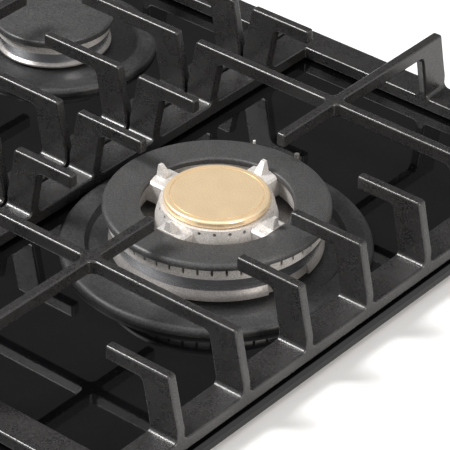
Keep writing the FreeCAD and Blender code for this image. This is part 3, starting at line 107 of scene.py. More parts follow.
def feed(tree, socket, value):
    # a number goes on the socket, anything else is linked to it
    if isinstance(value, (int, float)):
        socket.default_value = value
    else:
        tree.links.new(value, socket)


def math2(tree, operation, first, second=0.0):
    node = tree.nodes.new("ShaderNodeMath")
    node.operation = operation
    feed(tree, node.inputs[0], first)
    feed(tree, node.inputs[1], second)
    return node.outputs[0]


def vectorMath(tree, operation, first, second=None):
    node = tree.nodes.new("ShaderNodeVectorMath")
    node.operation = operation
    tree.links.new(first, node.inputs[0])
    if second is not None:
        tree.links.new(second, node.inputs[1])
    return node.outputs["Value" if operation == "LENGTH" else "Vector"]


def mapRange(tree, value, low, high, toLow=0.0, toHigh=1.0):
    node = tree.nodes.new("ShaderNodeMapRange")
    feed(tree, node.inputs["Value"], value)
    feed(tree, node.inputs["From Min"], low)
    feed(tree, node.inputs["From Max"], high)
    feed(tree, node.inputs["To Min"], toLow)
    feed(tree, node.inputs["To Max"], toHigh)
    return node.outputs["Result"]


def noise(tree, coordinates, scale, detail, rough):
    node = tree.nodes.new("ShaderNodeTexNoise")
    tree.links.new(coordinates, node.inputs["Vector"])
    feed(tree, node.inputs["Scale"], scale)
    node.inputs["Detail"].default_value = detail
    node.inputs["Roughness"].default_value = rough
    return node.outputs["Fac"]


def objectPlace(tree):
    return tree.nodes.new("ShaderNodeTexCoord").outputs["Object"]


def makeSandGrain():
    # fine sandy grain with slow mottling, for castings, enamel and blasted metal
    tree, given, made = newGroup(
        "sandGrain",
        [("Grain per Metre", "NodeSocketFloat", 1200.0), ("Mottling", "NodeSocketFloat", 0.3)],
        ["Mask", "Height", "Patches"],
    )
    place = objectPlace(tree)
    perMetre = given.outputs["Grain per Metre"]
    fine = noise(tree, place, perMetre, sand["fineDetail"], sand["rough"])
    slowScale = math2(tree, "MULTIPLY", perMetre, sand["slowShare"])
    slow = noise(tree, place, slowScale, sand["slowDetail"], sand["rough"])
    grain = mapRange(tree, fine, *sand["grainEnds"])
    patches = mapRange(tree, slow, *sand["patchEnds"])
    mix = tree.nodes.new("ShaderNodeMix")
    mix.data_type = "FLOAT"
    tree.links.new(given.outputs["Mottling"], mix.inputs["Factor"])
    tree.links.new(grain, mix.inputs["A"])
    tree.links.new(patches, mix.inputs["B"])
    tree.links.new(mix.outputs["Result"], made.inputs["Mask"])
    tree.links.new(fine, made.inputs["Height"])
    tree.links.new(patches, made.inputs["Patches"])
    return tree


def scratchMask(tree, coordinates, perMetre):
    lines = noise(tree, coordinates, perMetre, scratches["detail"], scratches["rough"])
    return mapRange(tree, lines, *scratches["ends"])


def makeBrushedLines():
    # long fine scratches along one axis, for sheet and extruded metal
    tree, given, made = newGroup(
        "brushedLines",
        [
            ("Squeeze", "NodeSocketVector", (1.0, 1.0, 1.0)),
            ("Lines per Metre", "NodeSocketFloat", 1500.0),
        ],
        ["Mask"],
    )
    squeezed = vectorMath(tree, "MULTIPLY", objectPlace(tree), given.outputs["Squeeze"])
    mask = scratchMask(tree, squeezed, given.outputs["Lines per Metre"])
    tree.links.new(mask, made.inputs["Mask"])
    return tree


def makeTurnedRings():
    # fine rings round an upright axis; the axis repeats along X by the pitch
    tree, given, made = newGroup(
        "turnedRings",
        [
            ("Centre", "NodeSocketVector", (0.0, 0.0, 0.0)),
            ("Pitch", "NodeSocketFloat", 10.0),
            ("Rings per Metre", "NodeSocketFloat", 1500.0),
        ],
        ["Mask"],
    )
    shifted = vectorMath(tree, "SUBTRACT", objectPlace(tree), given.outputs["Centre"])
    split = tree.nodes.new("ShaderNodeSeparateXYZ")
    tree.links.new(shifted, split.inputs[0])
    wrap = tree.nodes.new("ShaderNodeMath")
    wrap.operation = "WRAP"
    tree.links.new(split.outputs["X"], wrap.inputs[0])
    tree.links.new(math2(tree, "MULTIPLY", given.outputs["Pitch"], 0.5), wrap.inputs[1])
    tree.links.new(math2(tree, "MULTIPLY", given.outputs["Pitch"], -0.5), wrap.inputs[2])
    distance = vectorMath(tree, "LENGTH", vector3(tree, wrap.outputs[0], split.outputs["Y"], 0.0))
    onAxis = vector3(tree, distance, 0.0, 0.0)
    mask = scratchMask(tree, onAxis, given.outputs["Rings per Metre"])
    tree.links.new(mask, made.inputs["Mask"])
    return tree


def vector3(tree, x, y, z):
    node = tree.nodes.new("ShaderNodeCombineXYZ")
    feed(tree, node.inputs["X"], x)
    feed(tree, node.inputs["Y"], y)
    feed(tree, node.inputs["Z"], z)
    return node.outputs[0]


sandGrain = makeSandGrain()
brushedLines = makeBrushedLines()
turnedRings = makeTurnedRings()


# finishes: each is one shared pattern between a dark and a light colour


def startFinish(name, look):
    material = bpy.data.materials.new(name)
    material.use_nodes = True
    tree = material.node_tree
    tree.nodes.clear()
    shader = tree.nodes.new("ShaderNodeBsdfPrincipled")
    output = tree.nodes.new("ShaderNodeOutputMaterial")
    tree.links.new(shader.outputs["BSDF"], output.inputs["Surface"])
    shader.inputs["Metallic"].default_value = look.get("metallic", 0.0)
    shader.inputs["Specular IOR Level"].default_value = look.get("specular", 0.5)
    shader.inputs["Coat Weight"].default_value = look.get("coat", 0.0)
    shader.inputs["Coat Roughness"].default_value = look.get("coatRoughness", 0.1)
    shader.inputs["Anisotropic"].default_value = look.get("anisotropic", 0.0)
    return material, tree, shader


def patternNode(tree, group, settings):
    pattern = tree.nodes.new("ShaderNodeGroup")
    pattern.node_tree = group
    for label, value in settings.items():
        pattern.inputs[label].default_value = value
    return pattern


def blendColour(tree, mask, dark, light):
    mix = tree.nodes.new("ShaderNodeMix")
    mix.data_type = "RGBA"
    mix.inputs["A"].default_value = (*dark, 1.0)
    mix.inputs["B"].default_value = (*light, 1.0)
    tree.links.new(mask, mix.inputs["Factor"])
    return mix.outputs["Result"]


def bumpFrom(tree, shader, height, strength, distance):
    bump = tree.nodes.new("ShaderNodeBump")
    bump.inputs["Strength"].default_value = strength
    bump.inputs["Distance"].default_value = distance
    tree.links.new(height, bump.inputs["Height"])
    tree.links.new(bump.outputs["Normal"], shader.inputs["Normal"])


def patternedFinish(name, look, group, settings, roughFrom="Mask", bumpOn="Mask"):
    material, tree, shader = startFinish(name, look)
    pattern = patternNode(tree, group, settings)
    colour = blendColour(tree, pattern.outputs["Mask"], look["dark"], look["light"])
    tree.links.new(colour, shader.inputs["Base Color"])
    roughness = mapRange(tree, pattern.outputs[roughFrom], 0.0, 1.0, *look["roughness"])
    tree.links.new(roughness, shader.inputs["Roughness"])
    if "bump" in look:
        bumpFrom(tree, shader, pattern.outputs[bumpOn], look["bump"], look["bumpDepth"])
    return material


def grainyFinish(name, look):
    settings = {"Grain per Metre": look["grain"], "Mottling": look["mottling"]}
    return patternedFinish(name, look, sandGrain, settings, "Patches", "Height")


def linedFinish(name, look):
    settings = {"Squeeze": look["squeeze"], "Lines per Metre": look["lines"]}
    return patternedFinish(name, look, brushedLines, settings)


def turnedFinish(name, look):
    settings = {
        "Centre": look["centre"], "Pitch": look["pitch"], "Rings per Metre": look["rings"],
    }
    return patternedFinish(name, look, turnedRings, settings)


castIron = grainyFinish("castIron", {
    "dark": (0.004, 0.0039, 0.004), "light": (0.040, 0.038, 0.038),
    "grain": 1250.0, "mottling": 0.08,
    "roughness": (0.24, 0.32), "specular": 0.6, "bump": 0.4, "bumpDepth": 0.0002,
})
dishEnamel = grainyFinish("dishEnamel", {
    "dark": (0.008, 0.008, 0.0083), "light": (0.050, 0.050, 0.051),
    "grain": 1050.0, "mottling": 0.1,
    "roughness": (0.40, 0.48), "specular": 0.5, "bump": 0.3, "bumpDepth": 0.0002,
})
capEnamel = grainyFinish("capEnamel", {
    "dark": (0.022, 0.022, 0.0225), "light": (0.078, 0.077, 0.077),
    "grain": 1300.0, "mottling": 0.08,
    "roughness": (0.40, 0.46), "specular": 0.5, "bump": 0.3, "bumpDepth": 0.0002,
})
blastedAluminium = grainyFinish("blastedAluminium", {
    "dark": (0.48, 0.455, 0.435), "light": (0.78, 0.755, 0.73),
    "grain": 1200.0, "mottling": 0.15, "metallic": 0.35,
    "roughness": (0.42, 0.52), "bump": 0.35, "bumpDepth": 0.0002,
})
cupAluminium = grainyFinish("cupAluminium", {
    "dark": (0.26, 0.245, 0.235), "light": (0.44, 0.42, 0.405),
    "grain": 1200.0, "mottling": 0.15, "metallic": 0.45,
    "roughness": (0.36, 0.46), "bump": 0.3, "bumpDepth": 0.0002,
})
brushedBrass = grainyFinish("brushedBrass", {
    "dark": (0.84, 0.625, 0.375), "light": (1.0, 0.80, 0.53),
    "grain": 1500.0, "mottling": 0.05, "metallic": 0.55,
    "roughness": (0.28, 0.36), "bump": 0.2, "bumpDepth": 0.0002,
})
turnedAluminium = linedFinish("turnedAluminium", {
    "dark": (0.62, 0.64, 0.68), "light": (0.86, 0.87, 0.90),
    "squeeze": (0.02, 0.02, 1.0), "lines": 2600.0, "metallic": 1.0,
    "roughness": (0.08, 0.14), "bump": 0.5, "bumpDepth": 0.0001,
})
blackGlass = grainyFinish("blackGlass", {
    "dark": (0.002, 0.002, 0.0023), "light": (0.0035, 0.0035, 0.004),
    "grain": 300.0, "mottling": 0.7,
    "roughness": (0.02, 0.05), "specular": 0.5,
})
galvanised = grainyFinish("galvanised", {
    "dark": (0.42, 0.43, 0.44), "light": (0.62, 0.63, 0.64),
    "grain": 260.0, "mottling": 0.5, "metallic": 0.8,
    "roughness": (0.32, 0.50),
})
zincPlated = grainyFinish("zincPlated", {
    "dark": (0.50, 0.50, 0.48), "light": (0.68, 0.68, 0.65),
    "grain": 1600.0, "mottling": 0.3, "metallic": 0.9,
    "roughness": (0.25, 0.38),
})
drawnAluminium = linedFinish("drawnAluminium", {
    "dark": (0.52, 0.52, 0.53), "light": (0.72, 0.72, 0.73),
    "squeeze": (1.0, 0.03, 1.0), "lines": 2500.0, "metallic": 0.9,
    "roughness": (0.24, 0.38),
})
castAluminium = grainyFinish("castAluminium", {
    "dark": (0.42, 0.42, 0.43), "light": (0.60, 0.60, 0.61),
    "grain": 1400.0, "mottling": 0.3, "metallic": 0.7,
    "roughness": (0.42, 0.56), "bump": 0.3, "bumpDepth": 0.0003,
})
turnedBrass = grainyFinish("turnedBrass", {
    "dark": (0.62, 0.44, 0.19), "light": (0.80, 0.60, 0.30),
    "grain": 1800.0, "mottling": 0.4, "metallic": 0.9,
    "roughness": (0.22, 0.34),
})
knobMetal = turnedFinish("knobMetal", {
    "dark": (0.46, 0.46, 0.47), "light": (0.62, 0.62, 0.63),
    "centre": (0.0, hob["knobRow"], 0.0), "pitch": hob["knobPitch"], "rings": 2600.0,
    "metallic": 0.9, "anisotropic": 0.3,
    "roughness": (0.24, 0.36), "bump": 0.12, "bumpDepth": 0.0002,
})
rubber = grainyFinish("rubber", {
    "dark": (0.012, 0.012, 0.012), "light": (0.032, 0.032, 0.032),
    "grain": 900.0, "mottling": 0.4,
    "roughness": (0.62, 0.78), "bump": 0.2, "bumpDepth": 0.0003,
})
blackPlastic = grainyFinish("blackPlastic", {
    "dark": (0.014, 0.014, 0.014), "light": (0.026, 0.026, 0.026),
    "grain": 1600.0, "mottling": 0.3,
    "roughness": (0.38, 0.50), "bump": 0.2, "bumpDepth": 0.0002,
})
ivoryPlastic = grainyFinish("ivoryPlastic", {
    "dark": (0.66, 0.64, 0.58), "light": (0.76, 0.74, 0.69),
    "grain": 900.0, "mottling": 0.4,
    "roughness": (0.38, 0.50), "bump": 0.15, "bumpDepth": 0.0002,
})
whiteCeramic = grainyFinish("whiteCeramic", {
    "dark": (0.74, 0.73, 0.70), "light": (0.84, 0.83, 0.80),
    "grain": 700.0, "mottling": 0.5,
    "roughness": (0.12, 0.22), "coat": 0.4,
})
probeSteel = grainyFinish("probeSteel", {
    "dark": (0.46, 0.43, 0.40), "light": (0.72, 0.68, 0.63),
    "grain": 1500.0, "mottling": 0.5, "metallic": 0.9,
    "roughness": (0.22, 0.36),
})
whitePrint = grainyFinish("whitePrint", {
    "dark": (0.55, 0.55, 0.55), "light": (0.68, 0.68, 0.68),
    "grain": 1500.0, "mottling": 0.3,
    "roughness": (0.35, 0.45),
})
print("finishes made:", len(bpy.data.materials))


# pieces that stand for CAD nodes

merge = {"doubles": 0.002 * mm, "slivers": 0.001 * mm, "flatAngle": 0.5}


def closedCopy(node):
    # the CAD mesh is loose triangles: merge its doubles, drop slivers and join flat faces
    mesh = nodes[node].data.copy()
    if mesh.has_custom_normals:
        mesh.attributes.remove(mesh.attributes["custom_normal"])
    edit = bmesh.new()
    edit.from_mesh(mesh)
    bmesh.ops.remove_doubles(edit, verts=edit.verts, dist=merge["doubles"])
    bmesh.ops.dissolve_degenerate(edit, edges=edit.edges, dist=merge["slivers"])
    flat = math.radians(merge["flatAngle"])
    bmesh.ops.dissolve_limit(edit, angle_limit=flat, verts=edit.verts, edges=edit.edges)
    edit.to_mesh(mesh)
    edit.free()
    return mesh


def addPiece(name, mesh, material, body):
    mesh.name = name
    mesh.materials.clear()
    mesh.materials.append(material)
    for face in mesh.polygons:
        face.material_index = 0
    piece = bpy.data.objects.new(name, mesh)
    bpy.context.scene.collection.objects.link(piece)
    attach(piece, body)
    return piece


def smoothed(mesh, angle):
    mesh.shade_smooth()
    mesh.set_sharp_from_angle(angle=math.radians(angle))


def softened(node, material, look):
    # a smooth copy of one node that stands for it, with rounded edges where its look asks
    mesh = closedCopy(node)
    smoothed(mesh, look["sharp"])
    name = node.replace("_", "") + "Soft"
    piece = addPiece(name, mesh, material, nodes[node]["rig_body"])
    if "round" in look:
        bevel = piece.modifiers.new("roundedEdges", "BEVEL")
        bevel.width = look["round"] * mm
        bevel.segments = look["segments"]
        bevel.limit_method = "ANGLE"
        bevel.angle_limit = math.radians(look["angle"])
        bevel.use_clamp_overlap = look["clamp"]
        bevel.harden_normals = True
    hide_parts(node)
    return piece


def dressed(node, material):
    # a CAD node that stays, in its finish
    mesh = nodes[node].data
    mesh.materials.clear()
    mesh.materials.append(material)


grate = {"sharp": 40, "round": 1.4, "segments": 4, "angle": 28, "clamp": False}
for column in ("left", "middle", "right"):
    softened("grate_" + column, castIron, grate)
    dressed("grate_%s_feet" % column, rubber)
print("grates made")

panel = {"sharp": 32, "round": 0.5, "segments": 2, "angle": 30, "clamp": True}
softened("glass_panel", blackGlass, panel)
for node, material in (
    ("worktop_seal", rubber), ("bonding_bead", rubber), ("bottom_tray", galvanised),
    ("clamp_brackets", galvanised), ("clamp_screws", zincPlated), ("burner_rails", galvanised),
    ("frame_screws", zincPlated), ("injectors", turnedBrass), ("electrodes", whiteCeramic),
    ("thermocouples", probeSteel), ("gas_manifold", drawnAluminium), ("gas_inlet", turnedBrass),
    ("gas_taps", castAluminium), ("supply_tubes", drawnAluminium), ("knob_bezels", blackPlastic),
    ("ignition_module", ivoryPlastic), ("mains_gland", blackPlastic),
):
    dressed(node, material)

dish = {"sharp": 30}
crown = {"sharp": 30}
cap = {"sharp": 30}
cup = {"sharp": 28, "wallFrom": {"wok": 63.2 * mm, "small": 58.6 * mm}, "wallFacing": 0.75}


def turnedWalls(piece, centre, low):
    # the tapered wall above the flange is turned bright, the rest stays cast
    piece.data.materials.append(turnedAluminium)
    for face in piece.data.polygons:
        away = Vector((face.center.x - centre[0], face.center.y - centre[1], 0.0)).normalized()
        if face.center.z > low and face.normal.dot(away) > cup["wallFacing"]:
            face.material_index = 1


for burner in ("wok", *hob["burners"]):
    kind = "wok" if burner == "wok" else "small"
    centre = hob["wokCentre"] if burner == "wok" else hob["burners"][burner]
    softened(burner + "_dish", dishEnamel, dish)
    bowl = softened(burner + "_cup", cupAluminium, cup)
    turnedWalls(bowl, centre, cup["wallFrom"][kind])
    softened(burner + "_crown", blastedAluminium, crown)
    if burner != "wok":
        softened(burner + "_cap", capEnamel, cap)
softened("wok_ring_cap", capEnamel, cap)
softened("wok_centre_cap", brushedBrass, cap)
print("burners made")

knob = {"sharp": 32, "round": 0.4, "segments": 2, "angle": 30, "clamp": True}
for number in knobNumbers:
    softened("knob_%d" % number, knobMetal, knob)
    dressed("tap_plug_%d" % number, turnedBrass)
    dressed("spindle_%d" % number, zincPlated)


# what repeats: made by geometry nodes, then turned into plain meshes


def newGeometry(name, sizes):
    # an empty tree that has its sizes as inputs
    tree = bpy.data.node_groups.new(name, "GeometryNodeTree")
    sockets = tree.interface
    sockets.new_socket(name="Geometry", in_out="OUTPUT", socket_type="NodeSocketGeometry")
    for label, value in sizes.items():
        kind = "NodeSocketInt" if isinstance(value, int) else "NodeSocketFloat"
        socket = sockets.new_socket(name=label, in_out="INPUT", socket_type=kind)
        socket.default_value = value
    given = tree.nodes.new("NodeGroupInput").outputs
    return tree, given, tree.nodes.new("NodeGroupOutput").inputs["Geometry"]


def linePoints(tree, count, start=None, step=None):
    node = tree.nodes.new("GeometryNodeMeshLine")
    tree.links.new(count, node.inputs["Count"])
    for label, value in (("Start Location", start), ("Offset", step)):
        if value is not None:
            tree.links.new(value, node.inputs[label])
    return node.outputs["Mesh"]


def movedTo(tree, geometry, position):
    node = tree.nodes.new("GeometryNodeSetPosition")
    tree.links.new(geometry, node.inputs["Geometry"])
    tree.links.new(position, node.inputs["Position"])
    return node.outputs["Geometry"]


def transformed(tree, geometry, label, value):
    # label is Rotation or Scale
    node = tree.nodes.new("GeometryNodeTransform")
    tree.links.new(geometry, node.inputs["Geometry"])
    tree.links.new(value, node.inputs[label])
    return node.outputs["Geometry"]


def copiesOn(tree, points, shape, turn=None):
    node = tree.nodes.new("GeometryNodeInstanceOnPoints")
    tree.links.new(points, node.inputs["Points"])
    tree.links.new(shape, node.inputs["Instance"])
    if turn is not None:
        tree.links.new(turn, node.inputs["Rotation"])
    return node.outputs["Instances"]


def finishTree(tree, geometry, material, out):
    real = tree.nodes.new("GeometryNodeRealizeInstances")
    dress = tree.nodes.new("GeometryNodeSetMaterial")
    dress.inputs["Material"].default_value = material
    tree.links.new(geometry, real.inputs["Geometry"])
    tree.links.new(real.outputs["Geometry"], dress.inputs["Geometry"])
    tree.links.new(dress.outputs["Geometry"], out)
    return tree


def ringAngles(tree, size):
    # start angle plus an even share of the sweep for each point, in radians
    index = tree.nodes.new("GeometryNodeInputIndex").outputs[0]
    share = math2(tree, "DIVIDE", index, math2(tree, "MAXIMUM", size["Divisions"], 1.0))
    return math2(tree, "ADD", size["Start"], math2(tree, "MULTIPLY", size["Sweep"], share))


def ringPoints(tree, size, angle, radius, height=0.0):
    x = math2(tree, "MULTIPLY", math2(tree, "COSINE", angle), radius)
    y = math2(tree, "MULTIPLY", math2(tree, "SINE", angle), radius)
    return movedTo(tree, linePoints(tree, size["Count"]), vector3(tree, x, y, height))


def makeGripRibs(sizes):
    # upright ribs round a knob at the origin, leaning in with its taper
    tree, size, out = newGeometry("gripRibs", sizes)
    rib = tree.nodes.new("GeometryNodeMeshCylinder")
    tree.links.new(size["Rib Sides"], rib.inputs["Vertices"])
    tree.links.new(size["Rib Radius"], rib.inputs["Radius"])
    tree.links.new(size["Rib Length"], rib.inputs["Depth"])
    inwards = vector3(tree, 0.0, math2(tree, "MULTIPLY", size["Lean"], -1.0), 0.0)
    leaning = transformed(tree, rib.outputs["Mesh"], "Rotation", inwards)
    angle = ringAngles(tree, size)
    points = ringPoints(tree, size, angle, size["Radius"], size["Height"])
    ribs = copiesOn(tree, points, leaning, vector3(tree, 0.0, 0.0, angle))
    return finishTree(tree, ribs, knobMetal, out)


def makeDialTicks(sizes):
    # a fan of radial ticks, repeated along the row of knobs
    tree, size, out = newGeometry("dialTicks", sizes)
    tick = tree.nodes.new("GeometryNodeMeshCube")
    block = vector3(tree, size["Tick Length"], size["Tick Width"], size["Thickness"])
    tree.links.new(block, tick.inputs["Size"])
    angle = ringAngles(tree, size)
    points = ringPoints(tree, size, angle, size["Radius"])
    fan = copiesOn(tree, points, tick.outputs["Mesh"], vector3(tree, 0.0, 0.0, angle))
    start = vector3(tree, size["First Knob"], size["Row"], size["Height"])
    row = linePoints(tree, size["Knobs"], start, vector3(tree, size["Pitch"], 0.0, 0.0))
    return finishTree(tree, copiesOn(tree, row, fan), whitePrint, out)


def makeTrayRibs(sizes):
    # flat pressed ribs in a row along X, each a squashed ball
    tree, size, out = newGeometry("pressedRibs", sizes)
    dome = tree.nodes.new("GeometryNodeMeshUVSphere")
    tree.links.new(size["Segments"], dome.inputs["Segments"])
    tree.links.new(size["Rings"], dome.inputs["Rings"])
    dome.inputs["Radius"].default_value = 1.0
    half = vector3(tree, size["Half Width"], size["Half Depth"], size["Half Height"])
    shape = transformed(tree, dome.outputs["Mesh"], "Scale", half)
    gaps = math2(tree, "SUBTRACT", size["Count"], 1.0)
    span = math2(tree, "MULTIPLY", gaps, math2(tree, "MULTIPLY", size["Step"], 0.5))
    first = math2(tree, "SUBTRACT", size["Centre X"], span)
    start = vector3(tree, first, size["Centre Y"], size["Centre Z"])
    row = linePoints(tree, size["Count"], start, vector3(tree, size["Step"], 0.0, 0.0))
    return finishTree(tree, copiesOn(tree, row, shape), galvanised, out)


def plainMesh(tree, settings):
    # runs a tree with its inputs set by identifier and keeps the result as a mesh
    holder = bpy.data.objects.new("holder", bpy.data.meshes.new("holder"))
    bpy.context.scene.collection.objects.link(holder)
    modifier = holder.modifiers.new("nodes", "NODES")
    modifier.node_group = tree
    for item in tree.interface.items_tree:
        if item.in_out == "INPUT" and item.name in settings:
            modifier[item.identifier] = settings[item.name]
    graph = bpy.context.evaluated_depsgraph_get()
    mesh = bpy.data.meshes.new_from_object(holder.evaluated_get(graph))
    holder.modifiers.remove(modifier)
    bpy.data.objects.remove(holder)
    return mesh


grip = {
    "Count": 48, "Divisions": 48.0, "Start": 0.0, "Sweep": 2.0 * math.pi,
    "Radius": 19.38 * mm, "Height": 67.6 * mm,
    "Rib Sides": 8, "Rib Radius": 0.55 * mm, "Rib Length": 15.0 * mm,
    "Lean": math.atan2(1.2, 22.0),  # the knob's wall comes in 1.2 mm over 22 mm of height
}
gripSharp = 50
gripTree = makeGripRibs(grip)
for number in knobNumbers:
    mesh = plainMesh(gripTree, grip)
    mesh.transform(Matrix.Translation((knobX(number), hob["knobRow"], 0.0)))
    smoothed(mesh, gripSharp)
    addPiece("knobGrip%d" % number, mesh, knobMetal, "knob_%d" % number)
print("knobs made")

dial = {
    "Count": 9, "Divisions": 8.0, "Start": math.radians(180.0), "Sweep": math.radians(120.0),
    "Radius": 26.2 * mm, "Tick Length": 2.4 * mm, "Tick Width": 0.5 * mm,
    "Thickness": 0.08 * mm, "Height": hob["glassTop"], "Row": hob["knobRow"],
    "Knobs": hob["knobs"], "Pitch": hob["knobPitch"], "First Knob": knobX(1),
}
addPiece("dialTicks", plainMesh(makeDialTicks(dial), dial), whitePrint, "hob")

# each knob has a dot at off, a big and a small flame, and a map that marks its burner
prints = {
    "thickness": 0.04 * mm, "dotSides": 20, "flameSides": 24, "flameWidth": 0.62,
    "flamePinch": 0.75, "flameRadius": 30.6 * mm,
    "flames": ((180.0, 2.4 * mm), (300.0, 1.5 * mm)),  # angle and size of each
    "offRadius": 26.2 * mm, "offDot": 1.1 * mm,
    "mapRow": -188.0 * mm, "mapStep": 2.5 * mm, "mapDot": 0.55 * mm, "mapMark": 1.05 * mm,
    "mapSpots": ((-1, -1), (-1, 1), (0, -1), (0, 1), (1, 0)),
}


def addPrint(edit, outline):
    # a thin closed plate, half above the glass and half in it
    glass, thick = hob["glassTop"], prints["thickness"]
    low = [edit.verts.new((x, y, glass - thick)) for x, y in outline]
    high = [edit.verts.new((x, y, glass + thick)) for x, y in outline]
    edit.faces.new(high)
    edit.faces.new(low[::-1])
    for index, corner in enumerate(low):
        after = (index + 1) % len(low)
        edit.faces.new((corner, low[after], high[after], high[index]))


def dotOutline(x, y, radius):
    turns = [math.tau * i / prints["dotSides"] for i in range(prints["dotSides"])]
    return [(x + radius * math.cos(turn), y + radius * math.sin(turn)) for turn in turns]


def flameOutline(x, y, size):
    points = []
    for i in range(prints["flameSides"]):
        turn = math.tau * i / prints["flameSides"]
        pinch = 0.5 * (1.0 + math.cos(turn))
        width = size * prints["flameWidth"] * math.sin(turn) * (1.0 - prints["flamePinch"] * pinch)
        points.append((x + width, y + size * math.cos(turn)))
    return points[::-1]


def makePrints():
    edit = bmesh.new()
    row, step, reach = hob["knobRow"], prints["mapStep"], prints["flameRadius"]
    for number in knobNumbers:
        x = knobX(number)
        addPrint(edit, dotOutline(x, row + prints["offRadius"], prints["offDot"]))
        for angle, size in prints["flames"]:
            turn = math.radians(angle)
            flameX, flameY = x + reach * math.cos(turn), row + reach * math.sin(turn)
            addPrint(edit, flameOutline(flameX, flameY, size))
        for spot, (across, back) in enumerate(prints["mapSpots"], 1):
            radius = prints["mapMark"] if spot == number else prints["mapDot"]
            addPrint(edit, dotOutline(x + across * step, prints["mapRow"] + back * step, radius))
    bmesh.ops.recalc_face_normals(edit, faces=edit.faces)
    mesh = bpy.data.meshes.new("glassPrints")
    edit.to_mesh(mesh)
    edit.free()
    return mesh


addPiece("glassPrints", makePrints(), whitePrint, "hob")

trayRibs = {
    "Segments": 20, "Rings": 10,
    "Half Width": 70.0 * mm, "Half Depth": 6.0 * mm, "Half Height": 0.8 * mm,
    "Count": 3, "Step": 170.0 * mm, "Centre X": 0.0, "Centre Y": 0.0, "Centre Z": 0.02 * mm,
}
trayRibRows = (-150.0 * mm, -50.0 * mm, 50.0 * mm, 150.0 * mm)
trayRibSharp = 60
ribTree = makeTrayRibs(trayRibs)
for number, row in enumerate(trayRibRows, 1):
    mesh = plainMesh(ribTree, {**trayRibs, "Centre Y": row})
    smoothed(mesh, trayRibSharp)
    addPiece("trayRib%d" % number, mesh, galvanised, "hob")
print("prints and pressings made")


# stage, lamps and camera

worktop = {
    "height": 43 * mm, "reach": 4.0, "cutX": 281 * mm, "cutY": 241 * mm,
    "dark": (0.93, 0.93, 0.93), "lighter": 1.01, "grain": 40.0,
    "roughness": 0.6, "specular": 0.3,
}


def worktopFinish():
    material, tree, shader = startFinish("paleWorktop", worktop)
    shader.inputs["Roughness"].default_value = worktop["roughness"]
    pattern = patternNode(tree, sandGrain, {"Grain per Metre": worktop["grain"]})
    light = [worktop["lighter"] * part for part in worktop["dark"]]
    colour = blendColour(tree, pattern.outputs["Mask"], worktop["dark"], light)
    tree.links.new(colour, shader.inputs["Base Color"])
    return material


def makeWorktop():
    # a wide flat sheet with the hob's cut-out in it
    far, x, y, z = worktop["reach"], worktop["cutX"], worktop["cutY"], worktop["height"]
    outer = [(-far, -far), (far, -far), (far, far), (-far, far)]
    inner = [(-x, -y), (x, -y), (x, y), (-x, y)]
    points = [(a, b, z) for a, b in outer + inner]
    faces = [(i, (i + 1) % 4, (i + 1) % 4 + 4, i + 4) for i in range(4)]
    mesh = bpy.data.meshes.new("worktop")
    mesh.from_pydata(points, [], faces)
    mesh.materials.append(worktopFinish())
    piece = bpy.data.objects.new("worktop", mesh)
    bpy.context.scene.collection.objects.link(piece)


makeWorktop()

# each lamp is a soft box that faces the same point on the hob; power in watts
lampAim = (0.15, 0.0, 0.06)
lamps = {
    "leftSoftbox": {
        "place": (-0.70, -0.56, 1.27), "size": (0.50, 0.50), "power": 34.0,
        "colour": (1.0, 0.99, 0.98),
    },
    "rightSoftbox": {
        "place": (1.60, -0.20, 0.80), "size": (0.5, 0.6), "power": 13.0,
        "colour": (1.0, 0.94, 0.88),
    },
    "topSoftbox": {
        "place": (0.25, 0.35, 1.9), "size": (1.2, 1.0), "power": 6.0,
        "colour": (1.0, 1.0, 1.0),
    },
}


def addLamp(name, look):
    data = bpy.data.lights.new(name, "AREA")
    data.shape = "RECTANGLE"
    data.size, data.size_y = look["size"]
    data.energy = look["power"]
    data.color = look["colour"]
    lamp = bpy.data.objects.new(name, data)
    bpy.context.scene.collection.objects.link(lamp)
    lamp.location = look["place"]
    lamp.rotation_mode = "QUATERNION"
    lamp.rotation_quaternion = (Vector(lampAim) - Vector(look["place"])).to_track_quat("-Z", "Y")


for name, look in lamps.items():
    addLamp(name, look)

studio = {
    "fill": 0.35, "bright": 1.0, "dim": 0.16, "shown": 1.0,
    "shade": (-0.525, 0.642, 0.558), "inner": 38.0, "outer": 62.0,
}


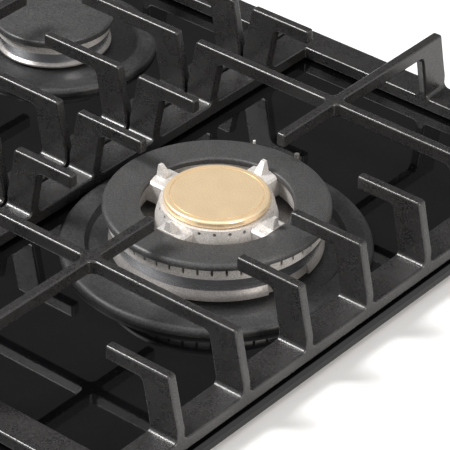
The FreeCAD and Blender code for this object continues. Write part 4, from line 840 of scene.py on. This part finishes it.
def makeWorld():
    # a white room with one dim screen behind the hob, which the glass mirrors
    world = bpy.data.worlds.new("studio")
    bpy.context.scene.world = world
    world.use_nodes = True
    sky = world.node_tree
    sky.nodes.clear()
    path = sky.nodes.new("ShaderNodeLightPath").outputs
    towards = sky.nodes.new("ShaderNodeVectorMath")
    towards.operation = "DOT_PRODUCT"
    towards.inputs[1].default_value = Vector(studio["shade"]).normalized()
    sky.links.new(sky.nodes.new("ShaderNodeTexCoord").outputs["Generated"], towards.inputs[0])
    ends = [math.cos(math.radians(studio[edge])) for edge in ("outer", "inner")]
    mirrored = mapRange(sky, towards.outputs["Value"], *ends, studio["bright"], studio["dim"])
    sharpRay = math2(sky, "MAXIMUM", path["Is Glossy Ray"], path["Is Transmission Ray"])
    level = mapRange(sky, sharpRay, 0.0, 1.0, studio["fill"], mirrored)
    strength = mapRange(sky, path["Is Camera Ray"], 0.0, 1.0, level, studio["shown"])
    light = sky.nodes.new("ShaderNodeBackground")
    light.inputs["Color"].default_value = (1.0, 1.0, 1.0, 1.0)
    sky.links.new(strength, light.inputs["Strength"])
    out = sky.nodes.new("ShaderNodeOutputWorld")
    sky.links.new(light.outputs[0], out.inputs["Surface"])


makeWorld()

# angles in degrees, focal length and picture width in pixels, sensor in millimetres
view = {
    "azimuth": 39.28, "elevation": 33.92, "roll": 0.97, "distance": 1746.6 * mm,
    "target": (222 * mm - 9.87 * mm, 33 * mm + 19.54 * mm, 52 * mm),
    "focal": 3044.0, "picture": 450.0, "sensor": 36.0, "near": 0.05, "far": 50.0,
}


def makeCamera():
    azimuth, elevation, roll = (
        math.radians(view[angle]) for angle in ("azimuth", "elevation", "roll")
    )
    level = math.cos(elevation)
    back = Vector((math.sin(azimuth) * level, -math.cos(azimuth) * level, math.sin(elevation)))
    right = Vector((math.cos(azimuth), math.sin(azimuth), 0.0))
    up = back.cross(right)
    across = math.cos(roll) * right + math.sin(roll) * up
    upward = -math.sin(roll) * right + math.cos(roll) * up
    data = bpy.data.cameras.new("photoCamera")
    data.sensor_width = view["sensor"]
    data.lens = view["focal"] / view["picture"] * view["sensor"]
    data.clip_start, data.clip_end = view["near"], view["far"]
    camera = bpy.data.objects.new("photoCamera", data)
    bpy.context.scene.collection.objects.link(camera)
    turn = Matrix((across, upward, back)).transposed()
    place = Vector(view["target"]) + back * view["distance"]
    camera.matrix_world = Matrix.Translation(place) @ turn.to_4x4()
    bpy.context.scene.camera = camera


makeCamera()
bpy.context.scene.view_settings.view_transform = "Standard"
print("stage, lamps and camera made")
